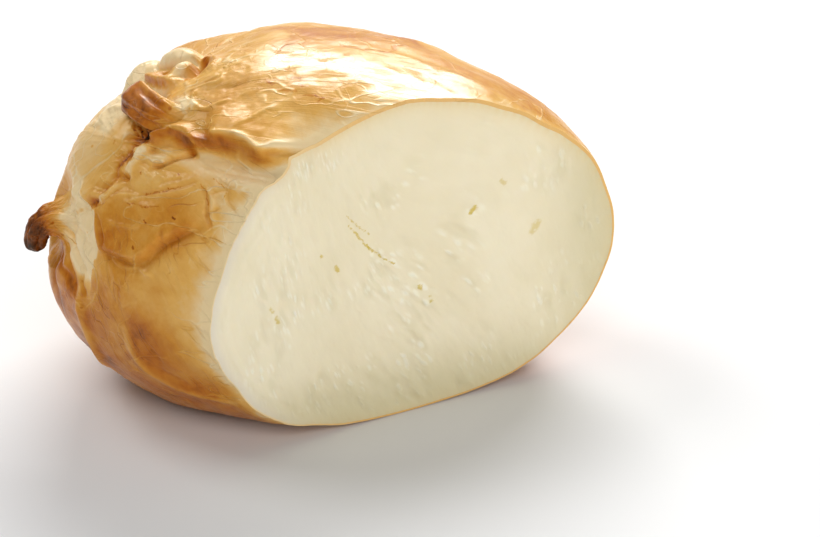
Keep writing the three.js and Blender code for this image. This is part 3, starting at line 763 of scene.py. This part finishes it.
def rim_of(rind):
    """Places of the inner edge of the rind, one after the other around the cut."""
    bm = bmesh.new()
    bm.from_mesh(rind.data)
    marked = bm.verts.layers.float[INNER_RIM]
    edges = [e for e in bm.edges if all(v[marked] > 0.5 for v in e.verts)]
    places = [v.co.copy() for v in in_order(edges)]
    bm.free()
    return places


def loop_edges(bm, loop):
    return [bm.edges.get(pair) for pair in zip(loop, loop[1:] + loop[:1])]


def rim_edges(bm, height):
    """Edges around the opening on the cut."""
    return [e for e in bm.edges if e.is_boundary and all(abs(v.co.y - height) < 1e-6 for v in e.verts)]


def in_order(edges):
    """Vertices of a closed loop of edges, one after the other."""
    links = {}
    for e in edges:
        for v in e.verts:
            links.setdefault(v, []).append(e.other_vert(v))
    start = next(iter(links))
    loop, before = [start], None
    while True:
        onward = [v for v in links[loop[-1]] if v is not before]
        before = loop[-1]
        if onward[0] is start or len(loop) > len(links):
            return loop
        loop.append(onward[0])


def blurred(outline, width):
    """A closed outline, as complex numbers, smoothed over about that many points."""
    turns = np.fft.fftfreq(len(outline)) * 2 * math.pi
    return np.fft.ifft(np.fft.fft(outline) * np.exp(-0.5 * (turns * width) ** 2))


def outline_of(points):
    return np.array([co.x + 1j * co.z for co in points])


def rim_strength(x, z):
    """How thick and dark the rind is at the cut, in mm: least at its left, most over its top."""
    from_left, top = smooth_step((x + 36) / 30), smooth_step((z - 12) / 30)
    return 0.25 + from_left * (0.3 + 0.2 * top + 0.35 * top * smooth_step((58 - x) / 20))


def inset_places(loop, thickness):
    """Places inside a loop on the cut, up to that far: the rind is thinnest at the left."""
    outline = outline_of([v.co for v in loop])
    calm = blurred(outline, 2.5)
    inward = 1j * (np.roll(calm, -1) - np.roll(calm, 1))
    inward /= np.abs(inward) + 1e-12
    inward *= np.sign(((calm.mean() - calm) * inward.conj()).real.sum())
    strength = rim_strength(outline.real / MM, outline.imag / MM)
    moved = blurred(outline, 1.0) + inward * thickness * strength
    return [Vector((p.real, loop[0].co.y, p.imag)) for p in moved]


def drawn_in(bm, loop, places):
    """Extrudes a closed loop to new places and returns the new loop."""
    grown = bmesh.ops.extrude_edge_only(bm, edges=loop_edges(bm, loop))["geom"]
    fresh = {v for v in grown if isinstance(v, bmesh.types.BMVert)}
    new = [next(e.other_vert(v) for e in v.link_edges if e.other_vert(v) in fresh) for v in loop]
    for v, co in zip(new, places):
        v.co = co
    return new


def build_paste(settings, rim):
    """The cut face, drawn in ring by ring from the inner edge of the rind."""
    bm = bmesh.new()
    loop = [bm.verts.new(co) for co in rim]
    for pair in zip(loop, loop[1:] + loop[:1]):
        bm.edges.new(pair)
    outline = outline_of(rim)
    middle = outline.mean()
    face_y = -settings.cut_distance
    for i in range(1, settings.rings):
        share = i / settings.rings
        calm = blurred(outline, min(3 * i, 60))
        places = middle + (calm - middle) * (1 - share)
        loop = drawn_in(bm, loop, [Vector((p.real, face_y, p.imag)) for p in places])
    bmesh.ops.pointmerge(bm, verts=loop, merge_co=(middle.real, face_y, middle.imag))
    shape_cut_face(bm, settings, rim)
    if sum(f.normal.y * f.calc_area() for f in bm.faces) > 0:
        bmesh.ops.reverse_faces(bm, faces=bm.faces[:])
    return make_object(bm, "paste")


FURROW_SPACING = 2.9
FURROW_HEIGHT = 0.2
FIBRE_LENGTH = 8.0
FIBRE_WIDTH = 2.8
FIBRE_HEIGHT = 0.45
PASTE_DENT_SPACING = 13.0
PASTE_DENT_HEIGHT = 0.3


def shape_cut_face(bm, settings, rim):
    """Gives the cut face soft lumps, furrows along its left edge and short torn fibres."""
    co = np.array([v.co for v in bm.verts]) / MM
    edge = np.array([tuple(v) for v in rim]) / MM
    gap = np.full(len(co), np.inf)
    for x, _, z in edge[::3]:
        gap = np.minimum(gap, np.hypot(co[:, 0] - x, co[:, 2] - z))
    left = smooth_step((-8 - co[:, 0]) / 22)
    inside = smooth_step((gap - 0.3) / 2.2)
    flat = np.column_stack([co[:, 0], co[:, 2], 0 * gap])
    furrows = np.sin((gap + 1.6 * field(flat / 11.0, 2, 5.0)) * 2 * math.pi / FURROW_SPACING)
    furrows *= left * smooth_step((gap - 0.6) / 1.5) * smooth_step((9.5 - gap) / 5)
    lumps = field(fibre_places(co, FIBRE_LENGTH, FIBRE_WIDTH), 3)
    dents = field(flat / PASTE_DENT_SPACING, 2, 7.0)
    patches = field(flat / PASTE_DENT_SPACING, 2, 21.0)
    moist = smooth_step((patches + 0.16 + 0.008 * (25 - co[:, 2])) / 0.45)
    height = lumps * FIBRE_HEIGHT * (0.3 + moist) + dents * PASTE_DENT_HEIGHT
    height += furrows * FURROW_HEIGHT
    y = -settings.cut_distance / MM - height * inside * settings.fibre_depth
    for v, place in zip(bm.verts, y):
        v.co.y = place * MM
    bm.normal_update()
    write_layer(bm, "moist", moist * inside)
    strength = rim_strength(co[:, 0], co[:, 2])
    write_layer(bm, "edge", strength * np.exp(-gap / (0.4 + 1.0 * strength)))
    write_layer(bm, "left", left * np.exp(-((gap / 1.6) ** 2)))
    # painted shade: greyer paste towards the far right and low down
    far_right = smooth_step((co[:, 0] - 34) / 20)
    write_layer(bm, "shaded", np.maximum(far_right, smooth_step((17 - co[:, 2]) / 15)))
    write_vectors(bm, "fibres", fibre_places(co, 1 / MM, 1 / MM))


def fibre_places(co, along, across):
    """Coordinates on the cut face that run along its fibres, as the curd was stretched."""
    turn = np.radians(-52 - 26 * smooth_step((5 - co[:, 0]) / 40) - 22 * smooth_step(co[:, 0] / 40))
    x, z = co[:, 0], co[:, 2]
    u = x * np.cos(turn) + z * np.sin(turn)
    v = -x * np.sin(turn) + z * np.cos(turn)
    return np.column_stack([u / along, v / across, 0 * x])


# yellowish cracks and pores of the paste: points across and up on the cut face, half width, shade
Mark = namedtuple("Mark", "points width shade")

MARKS = [
    Mark([(-5.8, 45.2), (-1.2, 40.6)], 0.3, 0.7),
    Mark([(-5.3, 43.2), (-1.3, 37.7), (4.4, 33.0)], 0.34, 0.8),
    Mark([(10, 27), (10.4, 26.4)], 0.55, 0.8),
    Mark([(12.5, 24), (12.8, 23.2)], 0.6, 0.8),
    Mark([(21.8, 39.8), (22.6, 40.9)], 0.8, 0.9),
    Mark([(36.2, 33), (37.2, 34.4)], 1.2, 0.5),
    Mark([(28.6, 45.4), (29.2, 44.8)], 0.7, 0.5),
    Mark([(-8.2, 35.2), (-7.8, 34.6)], 0.6, 0.8),
    Mark([(-11.4, 38.4), (-11.2, 38.1)], 0.4, 0.8),
    Mark([(-22.6, 30), (-22.3, 29.2)], 0.6, 0.6),
    Mark([(-21.2, 27.6), (-20.9, 26.6)], 0.65, 0.7),
]


# --- node materials -----------------------------------------------------------------------------------


class Value:
    """An output socket that adds a Math node for each operation on it."""

    def __init__(self, finish, socket):
        self.finish = finish
        self.socket = socket

    def math(self, operation, *inputs, clamp=False):
        settings = {"operation": operation, "use_clamp": clamp}
        return self.finish.add("ShaderNodeMath", settings, dict(enumerate(inputs)))

    def __add__(self, other):
        return self.math("ADD", self, other)

    def __sub__(self, other):
        return self.math("SUBTRACT", self, other)

    def __rsub__(self, other):
        return self.math("SUBTRACT", other, self)

    def __mul__(self, other):
        return self.math("MULTIPLY", self, other)

    __radd__ = __add__
    __rmul__ = __mul__

    def clamped(self):
        return self.math("ADD", self, 0.0, clamp=True)

    def absolute(self):
        return self.math("ABSOLUTE", self)

    def between(self, low, high):
        """0 below low, 1 above high, smooth between them."""
        return self.finish.add("ShaderNodeMapRange", {"interpolation_type": "SMOOTHSTEP"},
                               {"Value": self, "From Min": low, "From Max": high})


class Finish:
    """A material and its nodes."""

    def __init__(self, name):
        self.material = bpy.data.materials.new(name)
        self.material.use_nodes = True
        self.tree = self.material.node_tree
        self.tree.nodes.clear()

    def add(self, kind, settings=None, inputs=None, output=0):
        """Adds a node, sets it up, fills or links its sockets and returns one output."""
        node = self.tree.nodes.new(kind)
        for key, value in (settings or {}).items():
            if key == "stops":
                self.set_stops(node.color_ramp, value)
            else:
                setattr(node, key, value)
        for key, value in (inputs or {}).items():
            if isinstance(value, Value):
                self.tree.links.new(value.socket, node.inputs[key])
            else:
                node.inputs[key].default_value = value
        return Value(self, node.outputs[output]) if node.outputs else node

    @staticmethod
    def set_stops(ramp, stops):
        for _ in range(len(stops) - 2):
            ramp.elements.new(0.5)
        for element, (position, colour) in zip(ramp.elements, stops):
            element.position = position
            element.color = tuple(colour)[:3] + (1.0,)

    def place(self):
        return self.add("ShaderNodeTexCoord", output="Object")

    def attribute(self, name, output="Fac"):
        return self.add("ShaderNodeAttribute", {"attribute_name": name}, output=output)

    def scaled(self, vector, scale, turn=(0, 0, 0)):
        return self.add("ShaderNodeMapping", None,
                        {"Vector": vector, "Rotation": turn, "Scale": scale})

    def noise(self, vector, scale, detail=3.0, roughness=0.55, distortion=0.0):
        return self.add("ShaderNodeTexNoise", None,
                        {"Vector": vector, "Scale": scale, "Detail": detail,
                         "Roughness": roughness, "Distortion": distortion})

    def wobbled(self, vector, scale, amount):
        """A vector pushed about by smooth noise, up to about that amount."""
        push = self.add("ShaderNodeTexNoise", None, {"Vector": vector, "Scale": scale}, "Color")
        centred = self.vectors("SUBTRACT", push, (0.5, 0.5, 0.5))
        return self.vectors("ADD", vector, self.vectors("MULTIPLY", centred, (2 * amount,) * 3))

    def threads(self, vector, scale, width, detail=2.0):
        """1 along thin winding lines, where smooth noise passes its middle."""
        return 1 - (self.noise(vector, scale, detail, 0.5) - 0.5).absolute().between(0.0, width)

    def specks(self, vector, scale, size):
        """1 in small round dots, one in each random cell."""
        far = self.add("ShaderNodeTexVoronoi", None, {"Vector": vector, "Scale": scale})
        return 1 - far.between(size * 0.6, size)

    def dabs(self, vector):
        """1 on soft round spots, one in each random cell."""
        near = self.add("ShaderNodeTexVoronoi", {"feature": "SMOOTH_F1"},
                        {"Vector": vector, "Scale": 1.0, "Smoothness": 0.3})
        return 1 - near.between(0.1, 0.5)

    def near_line(self, vector, points, width):
        """1 close to a line of points, 0 further off than its half width."""
        value = 0.0
        for a, b in zip(points, points[1:]):
            start, way = Vector(a), Vector(b) - Vector(a)
            off = self.vectors("SUBTRACT", vector, tuple(start))
            share = self.dot(off, tuple(way / way.length_squared)).clamped()
            foot = self.vectors("MULTIPLY", self.vector(share, share, share), tuple(way))
            near = 1 - self.distance(off, foot).between(0.3 * width, width)
            value = near + value
        return value

    def dot(self, a, b):
        return self.add("ShaderNodeVectorMath", {"operation": "DOT_PRODUCT"}, {0: a, 1: b}, "Value")

    def distance(self, a, b):
        return self.add("ShaderNodeVectorMath", {"operation": "DISTANCE"}, {0: a, 1: b}, "Value")

    def vector(self, x, y, z):
        return self.add("ShaderNodeCombineXYZ", None, {0: x, 1: y, 2: z})

    def part(self, vector, axis):
        return self.add("ShaderNodeSeparateXYZ", None, {0: vector}, axis)

    def mix(self, factor, a, b, blend="MIX"):
        return self.add("ShaderNodeMix", {"data_type": "RGBA", "blend_type": blend},
                        {0: factor, 6: a, 7: b}, output=2)

    def vectors(self, operation, a, b):
        return self.add("ShaderNodeVectorMath", {"operation": operation}, {0: a, 1: b})

    def normalized(self, vector):
        return self.add("ShaderNodeVectorMath", {"operation": "NORMALIZE"}, {0: vector})

    def bumped(self, height, distance, strength=1.0):
        return self.add("ShaderNodeBump", None,
                        {"Height": height, "Distance": distance, "Strength": strength})

    def surface(self, **sockets):
        inputs = {key.replace("_", " "): value for key, value in sockets.items()}
        shader = self.add("ShaderNodeBsdfPrincipled", None, inputs, output="BSDF")
        self.add("ShaderNodeOutputMaterial", None, {"Surface": shader})
        return self.material


RIND_BUMP = 0.0004  # metres of the finest relief
PASTE_BUMP = 0.0006
BUMP_STRENGTH = 0.8


def linear(red, green, blue):
    """A colour given in 0 to 255 as the eye sees it, as linear values."""
    shares = (red / 255, green / 255, blue / 255)
    return tuple(c / 12.92 if c <= 0.04045 else ((c + 0.055) / 1.055) ** 2.4 for c in shares)


def skin_flow(f, away):
    """Vectors that run out of the gather, for broad streaks and for fine flecks."""
    around = f.attribute("pleats", "Vector")
    along = f.vector(away * 1.6, away * 1.1, away * 1.3)
    broad = f.vectors("ADD", f.scaled(around, (4.5,) * 3), along)
    fine = f.vectors("ADD", f.scaled(around, (30,) * 3), f.scaled(along, (3,) * 3))
    return f.wobbled(broad, 1.5, 0.35), f.wobbled(fine, 1.2, 0.5)


def skin_scratches(f, place):
    """How far the table's torn scraps, specks and hair cracks darken the skin, and its pleats as
    painted shade.
    """
    outward = f.normalized(f.vectors("SUBTRACT", place, tuple(CENTRE * MM)))
    on_skin = f.wobbled(f.vectors("MULTIPLY", outward, (SKIN_RADIUS,) * 3), 1.2, 0.5)
    depth = 0.0
    for scratch in SCRATCHES:
        points = [SKIN_RADIUS * direction(*at) for at in scratch.line]
        depth = depth + scratch.tone * f.near_line(on_skin, points, scratch.width)
    return depth


def near_cut(y, settings, start, end):
    """1 at the cut, 0 further behind it than the end, in metres."""
    return 1 - y.between(-settings.cut_distance + start, -settings.cut_distance + end)


def rind_material(settings):
    f = Finish("smoked_rind")
    place = f.place()
    x, y, z = (f.part(place, axis) for axis in range(3))
    tone, drawn, away = f.attribute("tone"), f.attribute("drawn"), f.attribute("away")
    bent = f.wobbled(place, 60.0, 0.004)
    flow, fine_flow = skin_flow(f, away)
    off_pole = away.between(0.2, 0.65)  # the flow is too tight to show at the gather itself

    # clouds, streaks and flecks of smoke
    clouds = f.noise(bent, 44.0, 4.0, 0.55) - 0.5
    mottle = f.noise(bent, 210.0, 5.0, 0.62) - 0.5
    streaks = (f.noise(flow, 1.0, 5.0, 0.62) - 0.5) * off_pole
    flecks = (f.noise(fine_flow, 1.0, 4.0, 0.65) - 0.5) * off_pole
    scuffed = flecks.between(0.06, 0.16) * f.noise(bent, 60.0, 2.0).between(0.42, 0.6)
    specks = f.specks(f.wobbled(place, 300.0, 0.001), 300.0, 0.14)
    specks = specks * f.noise(place, 75.0, 1.0).between(0.52, 0.64)

    # raised threads and sunken cracks and creases
    netted = f.noise(place, 70.0, 2.0).between(0.4, 0.58)
    threads = f.threads(bent, 48.0, 0.011) * netted
    fine_threads = f.threads(f.wobbled(place, 110.0, 0.003), 130.0, 0.018) * netted
    stretched = f.wobbled(f.scaled(place, (0.4, 0.4, 1.5)), 45.0, 0.004)
    winding = f.threads(stretched, 95.0, 0.01, 3.0)
    winding = winding * f.noise(place, 52.0, 2.0).between(0.44, 0.6)
    cracks = f.threads(stretched, 57.0, 0.005, 3.0)
    cracks = cracks * f.noise(place, 80.0, 1.0).between(0.5, 0.64)
    creases = f.threads(f.wobbled(flow, 2.0, 0.2), 1.3, 0.01) * off_pole
    creases = creases * f.noise(place, 95.0, 1.0).between(0.5, 0.62)

    # how far the smoke has gone, from 0 for cream to 1 for char, with painted shade and light added
    # painted shade: darker towards the floor; painted light: a little paler over the top
    shade = (settings.smoke + 0.36 * clouds + 0.4 * mottle + 0.3 * streaks
             + tone * (1 + 1.2 * mottle) + 0.27 * (1 - z.between(0.0, 0.034))
             - 0.06 * z.between(0.042, 0.068) + skin_scratches(f, place) * (1 - drawn)
             + 0.2 * specks + 0.07 * scuffed)
    shade = shade - 0.12 * threads - 0.06 * fine_threads - 0.13 * winding
    shade = shade + 0.16 * cracks + 0.1 * creases
    shade = (shade - 0.1 * near_cut(y, settings, 0.0, 0.0022)
             - 0.12 * near_cut(y, settings, 0.0, 0.009)
             - 0.2 * near_cut(y, settings, 0.0, 0.004) * (1 - x.between(-0.03, 0.0))).clamped()
    colour = f.add("ShaderNodeValToRGB", {"stops": [
        (0.0, settings.cream), (0.22, settings.pale_gold), (0.45, settings.gold),
        (0.64, settings.amber), (0.82, settings.brown), (1.0, settings.char)]}, {"Fac": shade})
    rim = f.mix(x.between(-0.034, 0.006), (*settings.cream, 1.0), (*settings.rim, 1.0))
    colour = f.mix(near_cut(y, settings, 0.00001, 0.0001), colour, rim)

    wrinkled = 0.35 + 0.65 * f.attribute("gather")
    grit = f.noise(place, 1100.0, 3.0, 0.6)
    height = (0.35 * flecks + 0.5 * mottle + 0.25 * scuffed + 0.06 * grit
              + (0.5 * threads + 0.25 * fine_threads - 0.45 * creases) * wrinkled
              + 0.35 * winding - 0.4 * cracks)
    burnt = shade.between(0.78, 0.95)
    oily = f.attribute("oily")
    rough = (settings.roughness + 0.3 * mottle + 0.14 * scuffed - 0.1 * oily
             + 0.2 * burnt).clamped()
    wet = (0.03 + 0.45 * oily + 0.06 * drawn) * (1 - 0.9 * burnt)
    return f.surface(Base_Color=colour, Roughness=rough,
                     Normal=f.bumped(height, RIND_BUMP, BUMP_STRENGTH),
                     Subsurface_Weight=0.1, Subsurface_Scale=0.0015,
                     Subsurface_Radius=(1.0, 0.7, 0.4), Specular_IOR_Level=0.4,
                     Specular_Tint=(1.0, 0.82, 0.54, 1.0),
                     Coat_Weight=wet, Coat_Roughness=0.14)


def marked(f, place, colour, pore):
    """The paste's colour with its yellowish cracks and pores."""
    flat = f.vectors("MULTIPLY", place, (1 / MM, 0, 1 / MM))
    ragged = f.wobbled(f.wobbled(flat, 0.5, 0.7), 2.2, 0.35)
    broken = f.noise(place, 900.0, 1.0).between(0.25, 0.5)
    for mark in MARKS:
        points = [(x, 0, z) for x, z in mark.points]
        near = f.near_line(ragged, points, mark.width) * broken
        colour = f.mix((mark.shade * near).clamped(), colour, (*pore, 1.0))
    return colour


def paste_material(settings):
    f = Finish("ivory_paste")
    place = f.place()
    moist, edge, left = f.attribute("moist"), f.attribute("edge"), f.attribute("left")
    fibres = f.attribute("fibres", "Vector")
    furrows = f.noise(f.scaled(fibres, (150, 270, 1)), 1.0, 1.2) - 0.5
    patches = moist * f.noise(place, 150.0, 2.0).between(0.35, 0.55)
    soft = f.noise(f.scaled(fibres, (420, 900, 1)), 1.0, 1.0)
    # pale dabs on the moist fibres: painted highlight
    dabs = f.dabs(f.wobbled(f.scaled(fibres, (340, 760, 1)), 1.0, 0.4)) * patches
    grain = f.noise(place, 1400.0, 3.0, 0.6) - 0.5
    clouds = f.noise(place, 60.0, 3.0)
    # painted shade in the hollows between the lumps
    hollow = (0 - furrows).between(0.0, 0.16) * (0.25 + 0.75 * moist)
    colour = f.mix(clouds.between(0.35, 0.7), (*settings.ivory, 1.0), (*settings.cream, 1.0))
    # painted shade in the hollows and at the far right and low, painted highlight on the dabs
    for share, layer in ((0.22 * hollow, settings.shaded), (0.8 * dabs, settings.pale),
                         (0.75 * f.attribute("shaded"), settings.shaded),
                         (0.6 * left, settings.pressed), (0.55 * edge, settings.rim)):
        colour = f.mix(share, colour, (*layer, 1.0))
    height = 1.5 * furrows * (0.2 + 0.8 * moist) + 0.2 * soft + 0.25 * dabs + 0.08 * grain
    rough = (settings.roughness + 0.12 - 0.2 * dabs).clamped()
    return f.surface(Base_Color=marked(f, place, colour, settings.pore), Roughness=rough,
                     Normal=f.bumped(height, PASTE_BUMP, BUMP_STRENGTH),
                     Subsurface_Weight=0.3, Subsurface_Scale=0.003,
                     Subsurface_Radius=(1.0, 0.8, 0.5), Specular_IOR_Level=0.4,
                     Specular_Tint=(1.0, 0.93, 0.8, 1.0),
                     Coat_Weight=0.08, Coat_Roughness=0.15)


def floor_material(settings):
    f = Finish("pale_floor")
    place = f.place()
    mottle = f.noise(place, 12.0, 3.0)
    colour = f.mix(mottle, (*settings.floor, 1.0), (*(c * 0.985 for c in settings.floor), 1.0))
    return f.surface(Base_Color=colour, Roughness=0.9, Specular_IOR_Level=0.1)


# --- sizes and colours to change ----------------------------------------------------------------------


def colour_property(name, description, default):
    return FloatVectorProperty(name=name, description=description, default=default,
                               subtype="COLOR", size=3, min=0.0, max=1.0)


def length_property(name, description, default):
    return FloatProperty(name=name, description=description, default=default, unit="LENGTH")


def share_property(name, description, default):
    return FloatProperty(name=name, description=description, default=default, subtype="FACTOR")


def power_property(name, description, default):
    return FloatProperty(name=name, description=description, default=default, unit="POWER")


class CheeseRindSettings(PropertyGroup):
    cut_distance: length_property(
        "Cut distance", "Cut face in front of the middle of the body", CUT_DISTANCE)
    rind_thickness: length_property(
        "Rind thickness", "Thickness of the golden edge around the cut", 0.0007)
    pleat_height: length_property(
        "Pleat height", "Height of the small pleats out of the gather", 0.0005)
    wrinkle_depth: share_property(
        "Wrinkle depth", "Share of the drawn depth of the fine wrinkles", 1.0)
    smoke: share_property("Smoke", "How far the skin is smoked, from cream to brown", 0.33)
    roughness: share_property("Roughness", "Roughness of the satin skin", 0.35)
    cream: colour_property("Cream", "Skin that the smoke missed", linear(240, 214, 165))
    pale_gold: colour_property("Pale gold", "Lightly smoked skin", linear(229, 177, 92))
    gold: colour_property("Gold", "Smoked skin", linear(208, 141, 48))
    amber: colour_property("Amber", "Skin in folds", linear(184, 104, 20))
    brown: colour_property("Brown", "Toasted edges", linear(122, 60, 13))
    char: colour_property("Char", "Burnt tip of the tail", linear(38, 16, 9))
    rim: colour_property("Rim", "Cut edge of the rind", linear(230, 182, 108))


class CheesePasteSettings(PropertyGroup):
    cut_distance: length_property(
        "Cut distance", "Cut face in front of the middle of the body", CUT_DISTANCE)
    rings: IntProperty(
        name="Rings", description="Rings of faces between the rind and the middle", default=70)
    fibre_depth: share_property(
        "Fibre depth", "Share of the drawn height of fibres and dents", 1.0)
    roughness: share_property("Roughness", "Roughness of the moist paste", 0.3)
    ivory: colour_property("Ivory", "Paste", linear(238, 226, 193))
    cream: colour_property("Cream", "Paler paste", linear(243, 232, 202))
    # painted highlight on the raised moist fibres
    pale: colour_property("Pale", "Raised moist fibres", linear(253, 248, 228))
    # painted shade: greyer at the far right, low down and in the hollows
    shaded: colour_property("Shaded", "Greyer paste at the far right and low", linear(208, 197, 156))
    pressed: colour_property("Pressed", "Smooth paste pressed by the knife", linear(228, 220, 208))
    rim: colour_property("Rim", "Paste stained by the rind", linear(234, 196, 120))
    pore: colour_property("Pore", "Cracks and pores", linear(212, 186, 78))


class CheeseStageSettings(PropertyGroup):
    floor: colour_property("Floor", "Pale floor", (0.84, 0.84, 0.84))
    key_light: power_property("Key light", "Power of the large light above and behind", 38.0)
    fill_light: power_property("Fill light", "Power of the weak light in front", 19.0)
    crown_light: power_property("Crown light", "Power of the light high over the gather", 12.0)
    glaze_light: power_property(
        "Glaze light", "Power of the low light that glints on the moist cut face", 12.0)
    sky: share_property("Sky", "Brightness of the white surroundings", 0.16)


# --- operators ----------------------------------------------------------------------------------------


def finish_piece(piece, material):
    piece.data.materials.append(material)
    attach(piece, "root")
    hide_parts("cheese")


class CHEESE_OT_add_rind(Operator):
    """Add the smoked rind with its tail and ear"""

    bl_idname = "cheese.add_rind"
    bl_label = "Add rind"

    def execute(self, context):
        settings = context.scene.cheese_rind
        finish_piece(build_rind(settings), rind_material(settings))
        return {"FINISHED"}


class CHEESE_OT_add_paste(Operator):
    """Add the pale cut face inside the rind"""

    bl_idname = "cheese.add_paste"
    bl_label = "Add paste"

    def execute(self, context):
        settings = context.scene.cheese_paste
        rind = bpy.data.objects.get("rind")
        if rind is None:
            raise RuntimeError("The paste fills the rind, so the rind is added first")
        finish_piece(build_paste(settings, rim_of(rind)), paste_material(settings))
        return {"FINISHED"}


# area lights: place and size in metres, by the name of the setting that holds their power
LIGHTS = {
    "key_light": ((0.95, 1.06, 1.16), (1.4, 0.76)),
    "fill_light": ((-0.9, -1.7, 1.7), (1.8, 1.2)),
    "crown_light": ((-0.7, 1.0, 1.6), (0.9, 0.7)),
    "glaze_light": ((0.9, -1.8, 0.35), (1.0, 0.4)),
}
LIGHT_TARGET = Vector((0.0, 0.0, 0.035))
FLOOR_HALF_WIDTH = 3.0

CAMERA_AZIMUTH = -30.0
CAMERA_ELEVATION = 25.0
CAMERA_DISTANCE = 0.572
CAMERA_TARGET = (0.0415, 0.030, 0.0)
CAMERA_LENS = 112.74
SENSOR_WIDTH = 36.0


def add_camera(context):
    a, e = math.radians(CAMERA_AZIMUTH), math.radians(CAMERA_ELEVATION)
    back = Vector((math.sin(a) * math.cos(e), -math.cos(a) * math.cos(e), math.sin(e)))
    data = bpy.data.cameras.new("camera")
    data.lens = CAMERA_LENS
    data.sensor_width = SENSOR_WIDTH
    camera = bpy.data.objects.new("camera", data)
    camera.location = Vector(CAMERA_TARGET) + back * CAMERA_DISTANCE
    camera.rotation_euler = back.to_track_quat("Z", "Y").to_euler()
    context.scene.collection.objects.link(camera)
    context.scene.camera = camera


def add_light(context, name, place, size, power):
    data = bpy.data.lights.new(name, "AREA")
    data.shape = "RECTANGLE"
    data.size, data.size_y = size
    data.energy = power
    light = bpy.data.objects.new(name, data)
    light.location = place
    light.rotation_euler = (Vector(place) - LIGHT_TARGET).to_track_quat("Z", "Y").to_euler()
    context.scene.collection.objects.link(light)


class CHEESE_OT_add_stage(Operator):
    """Add the pale floor, the soft lights, the white surroundings and the camera"""

    bl_idname = "cheese.add_stage"
    bl_label = "Add stage"

    def execute(self, context):
        settings = context.scene.cheese_stage
        bm = bmesh.new()
        bmesh.ops.create_grid(bm, x_segments=8, y_segments=8, size=FLOOR_HALF_WIDTH)
        floor = make_object(bm, "floor")
        floor.data.materials.append(floor_material(settings))
        for name, (place, size) in LIGHTS.items():
            add_light(context, name, place, size, getattr(settings, name))
        world = context.scene.world or bpy.data.worlds.new("surroundings")
        context.scene.world = world
        world.use_nodes = True
        background = world.node_tree.nodes["Background"]
        background.inputs["Color"].default_value = (1.0, 1.0, 1.0, 1.0)
        background.inputs["Strength"].default_value = settings.sky
        context.scene.view_settings.view_transform = "Standard"
        add_camera(context)
        return {"FINISHED"}


class CHEESE_PT_panel(Panel):
    """Cheese panel in the 3D view's sidebar"""

    bl_label = "Cheese"
    bl_idname = "CHEESE_PT_panel"
    bl_space_type = "VIEW_3D"
    bl_region_type = "UI"
    bl_category = "Cheese"

    def draw(self, context):
        layout = self.layout
        for name in ("cheese_rind", "cheese_paste", "cheese_stage"):
            group = getattr(context.scene, name)
            box = layout.box()
            for key in group.__annotations__:
                box.prop(group, key)
        layout.operator(CHEESE_OT_add_rind.bl_idname)
        layout.operator(CHEESE_OT_add_paste.bl_idname)
        layout.operator(CHEESE_OT_add_stage.bl_idname)


CLASSES = (CheeseRindSettings, CheesePasteSettings, CheeseStageSettings,
           CHEESE_OT_add_rind, CHEESE_OT_add_paste, CHEESE_OT_add_stage, CHEESE_PT_panel)


def register():
    for cls in CLASSES:
        bpy.utils.register_class(cls)
    bpy.types.Scene.cheese_rind = PointerProperty(type=CheeseRindSettings)
    bpy.types.Scene.cheese_paste = PointerProperty(type=CheesePasteSettings)
    bpy.types.Scene.cheese_stage = PointerProperty(type=CheeseStageSettings)


def unregister():
    del bpy.types.Scene.cheese_stage
    del bpy.types.Scene.cheese_paste
    del bpy.types.Scene.cheese_rind
    for cls in reversed(CLASSES):
        bpy.utils.unregister_class(cls)


def main():
    register()
    bpy.ops.cheese.add_rind()
    bpy.ops.cheese.add_paste()
    bpy.ops.cheese.add_stage()


if __name__ == "__main__":
    main()
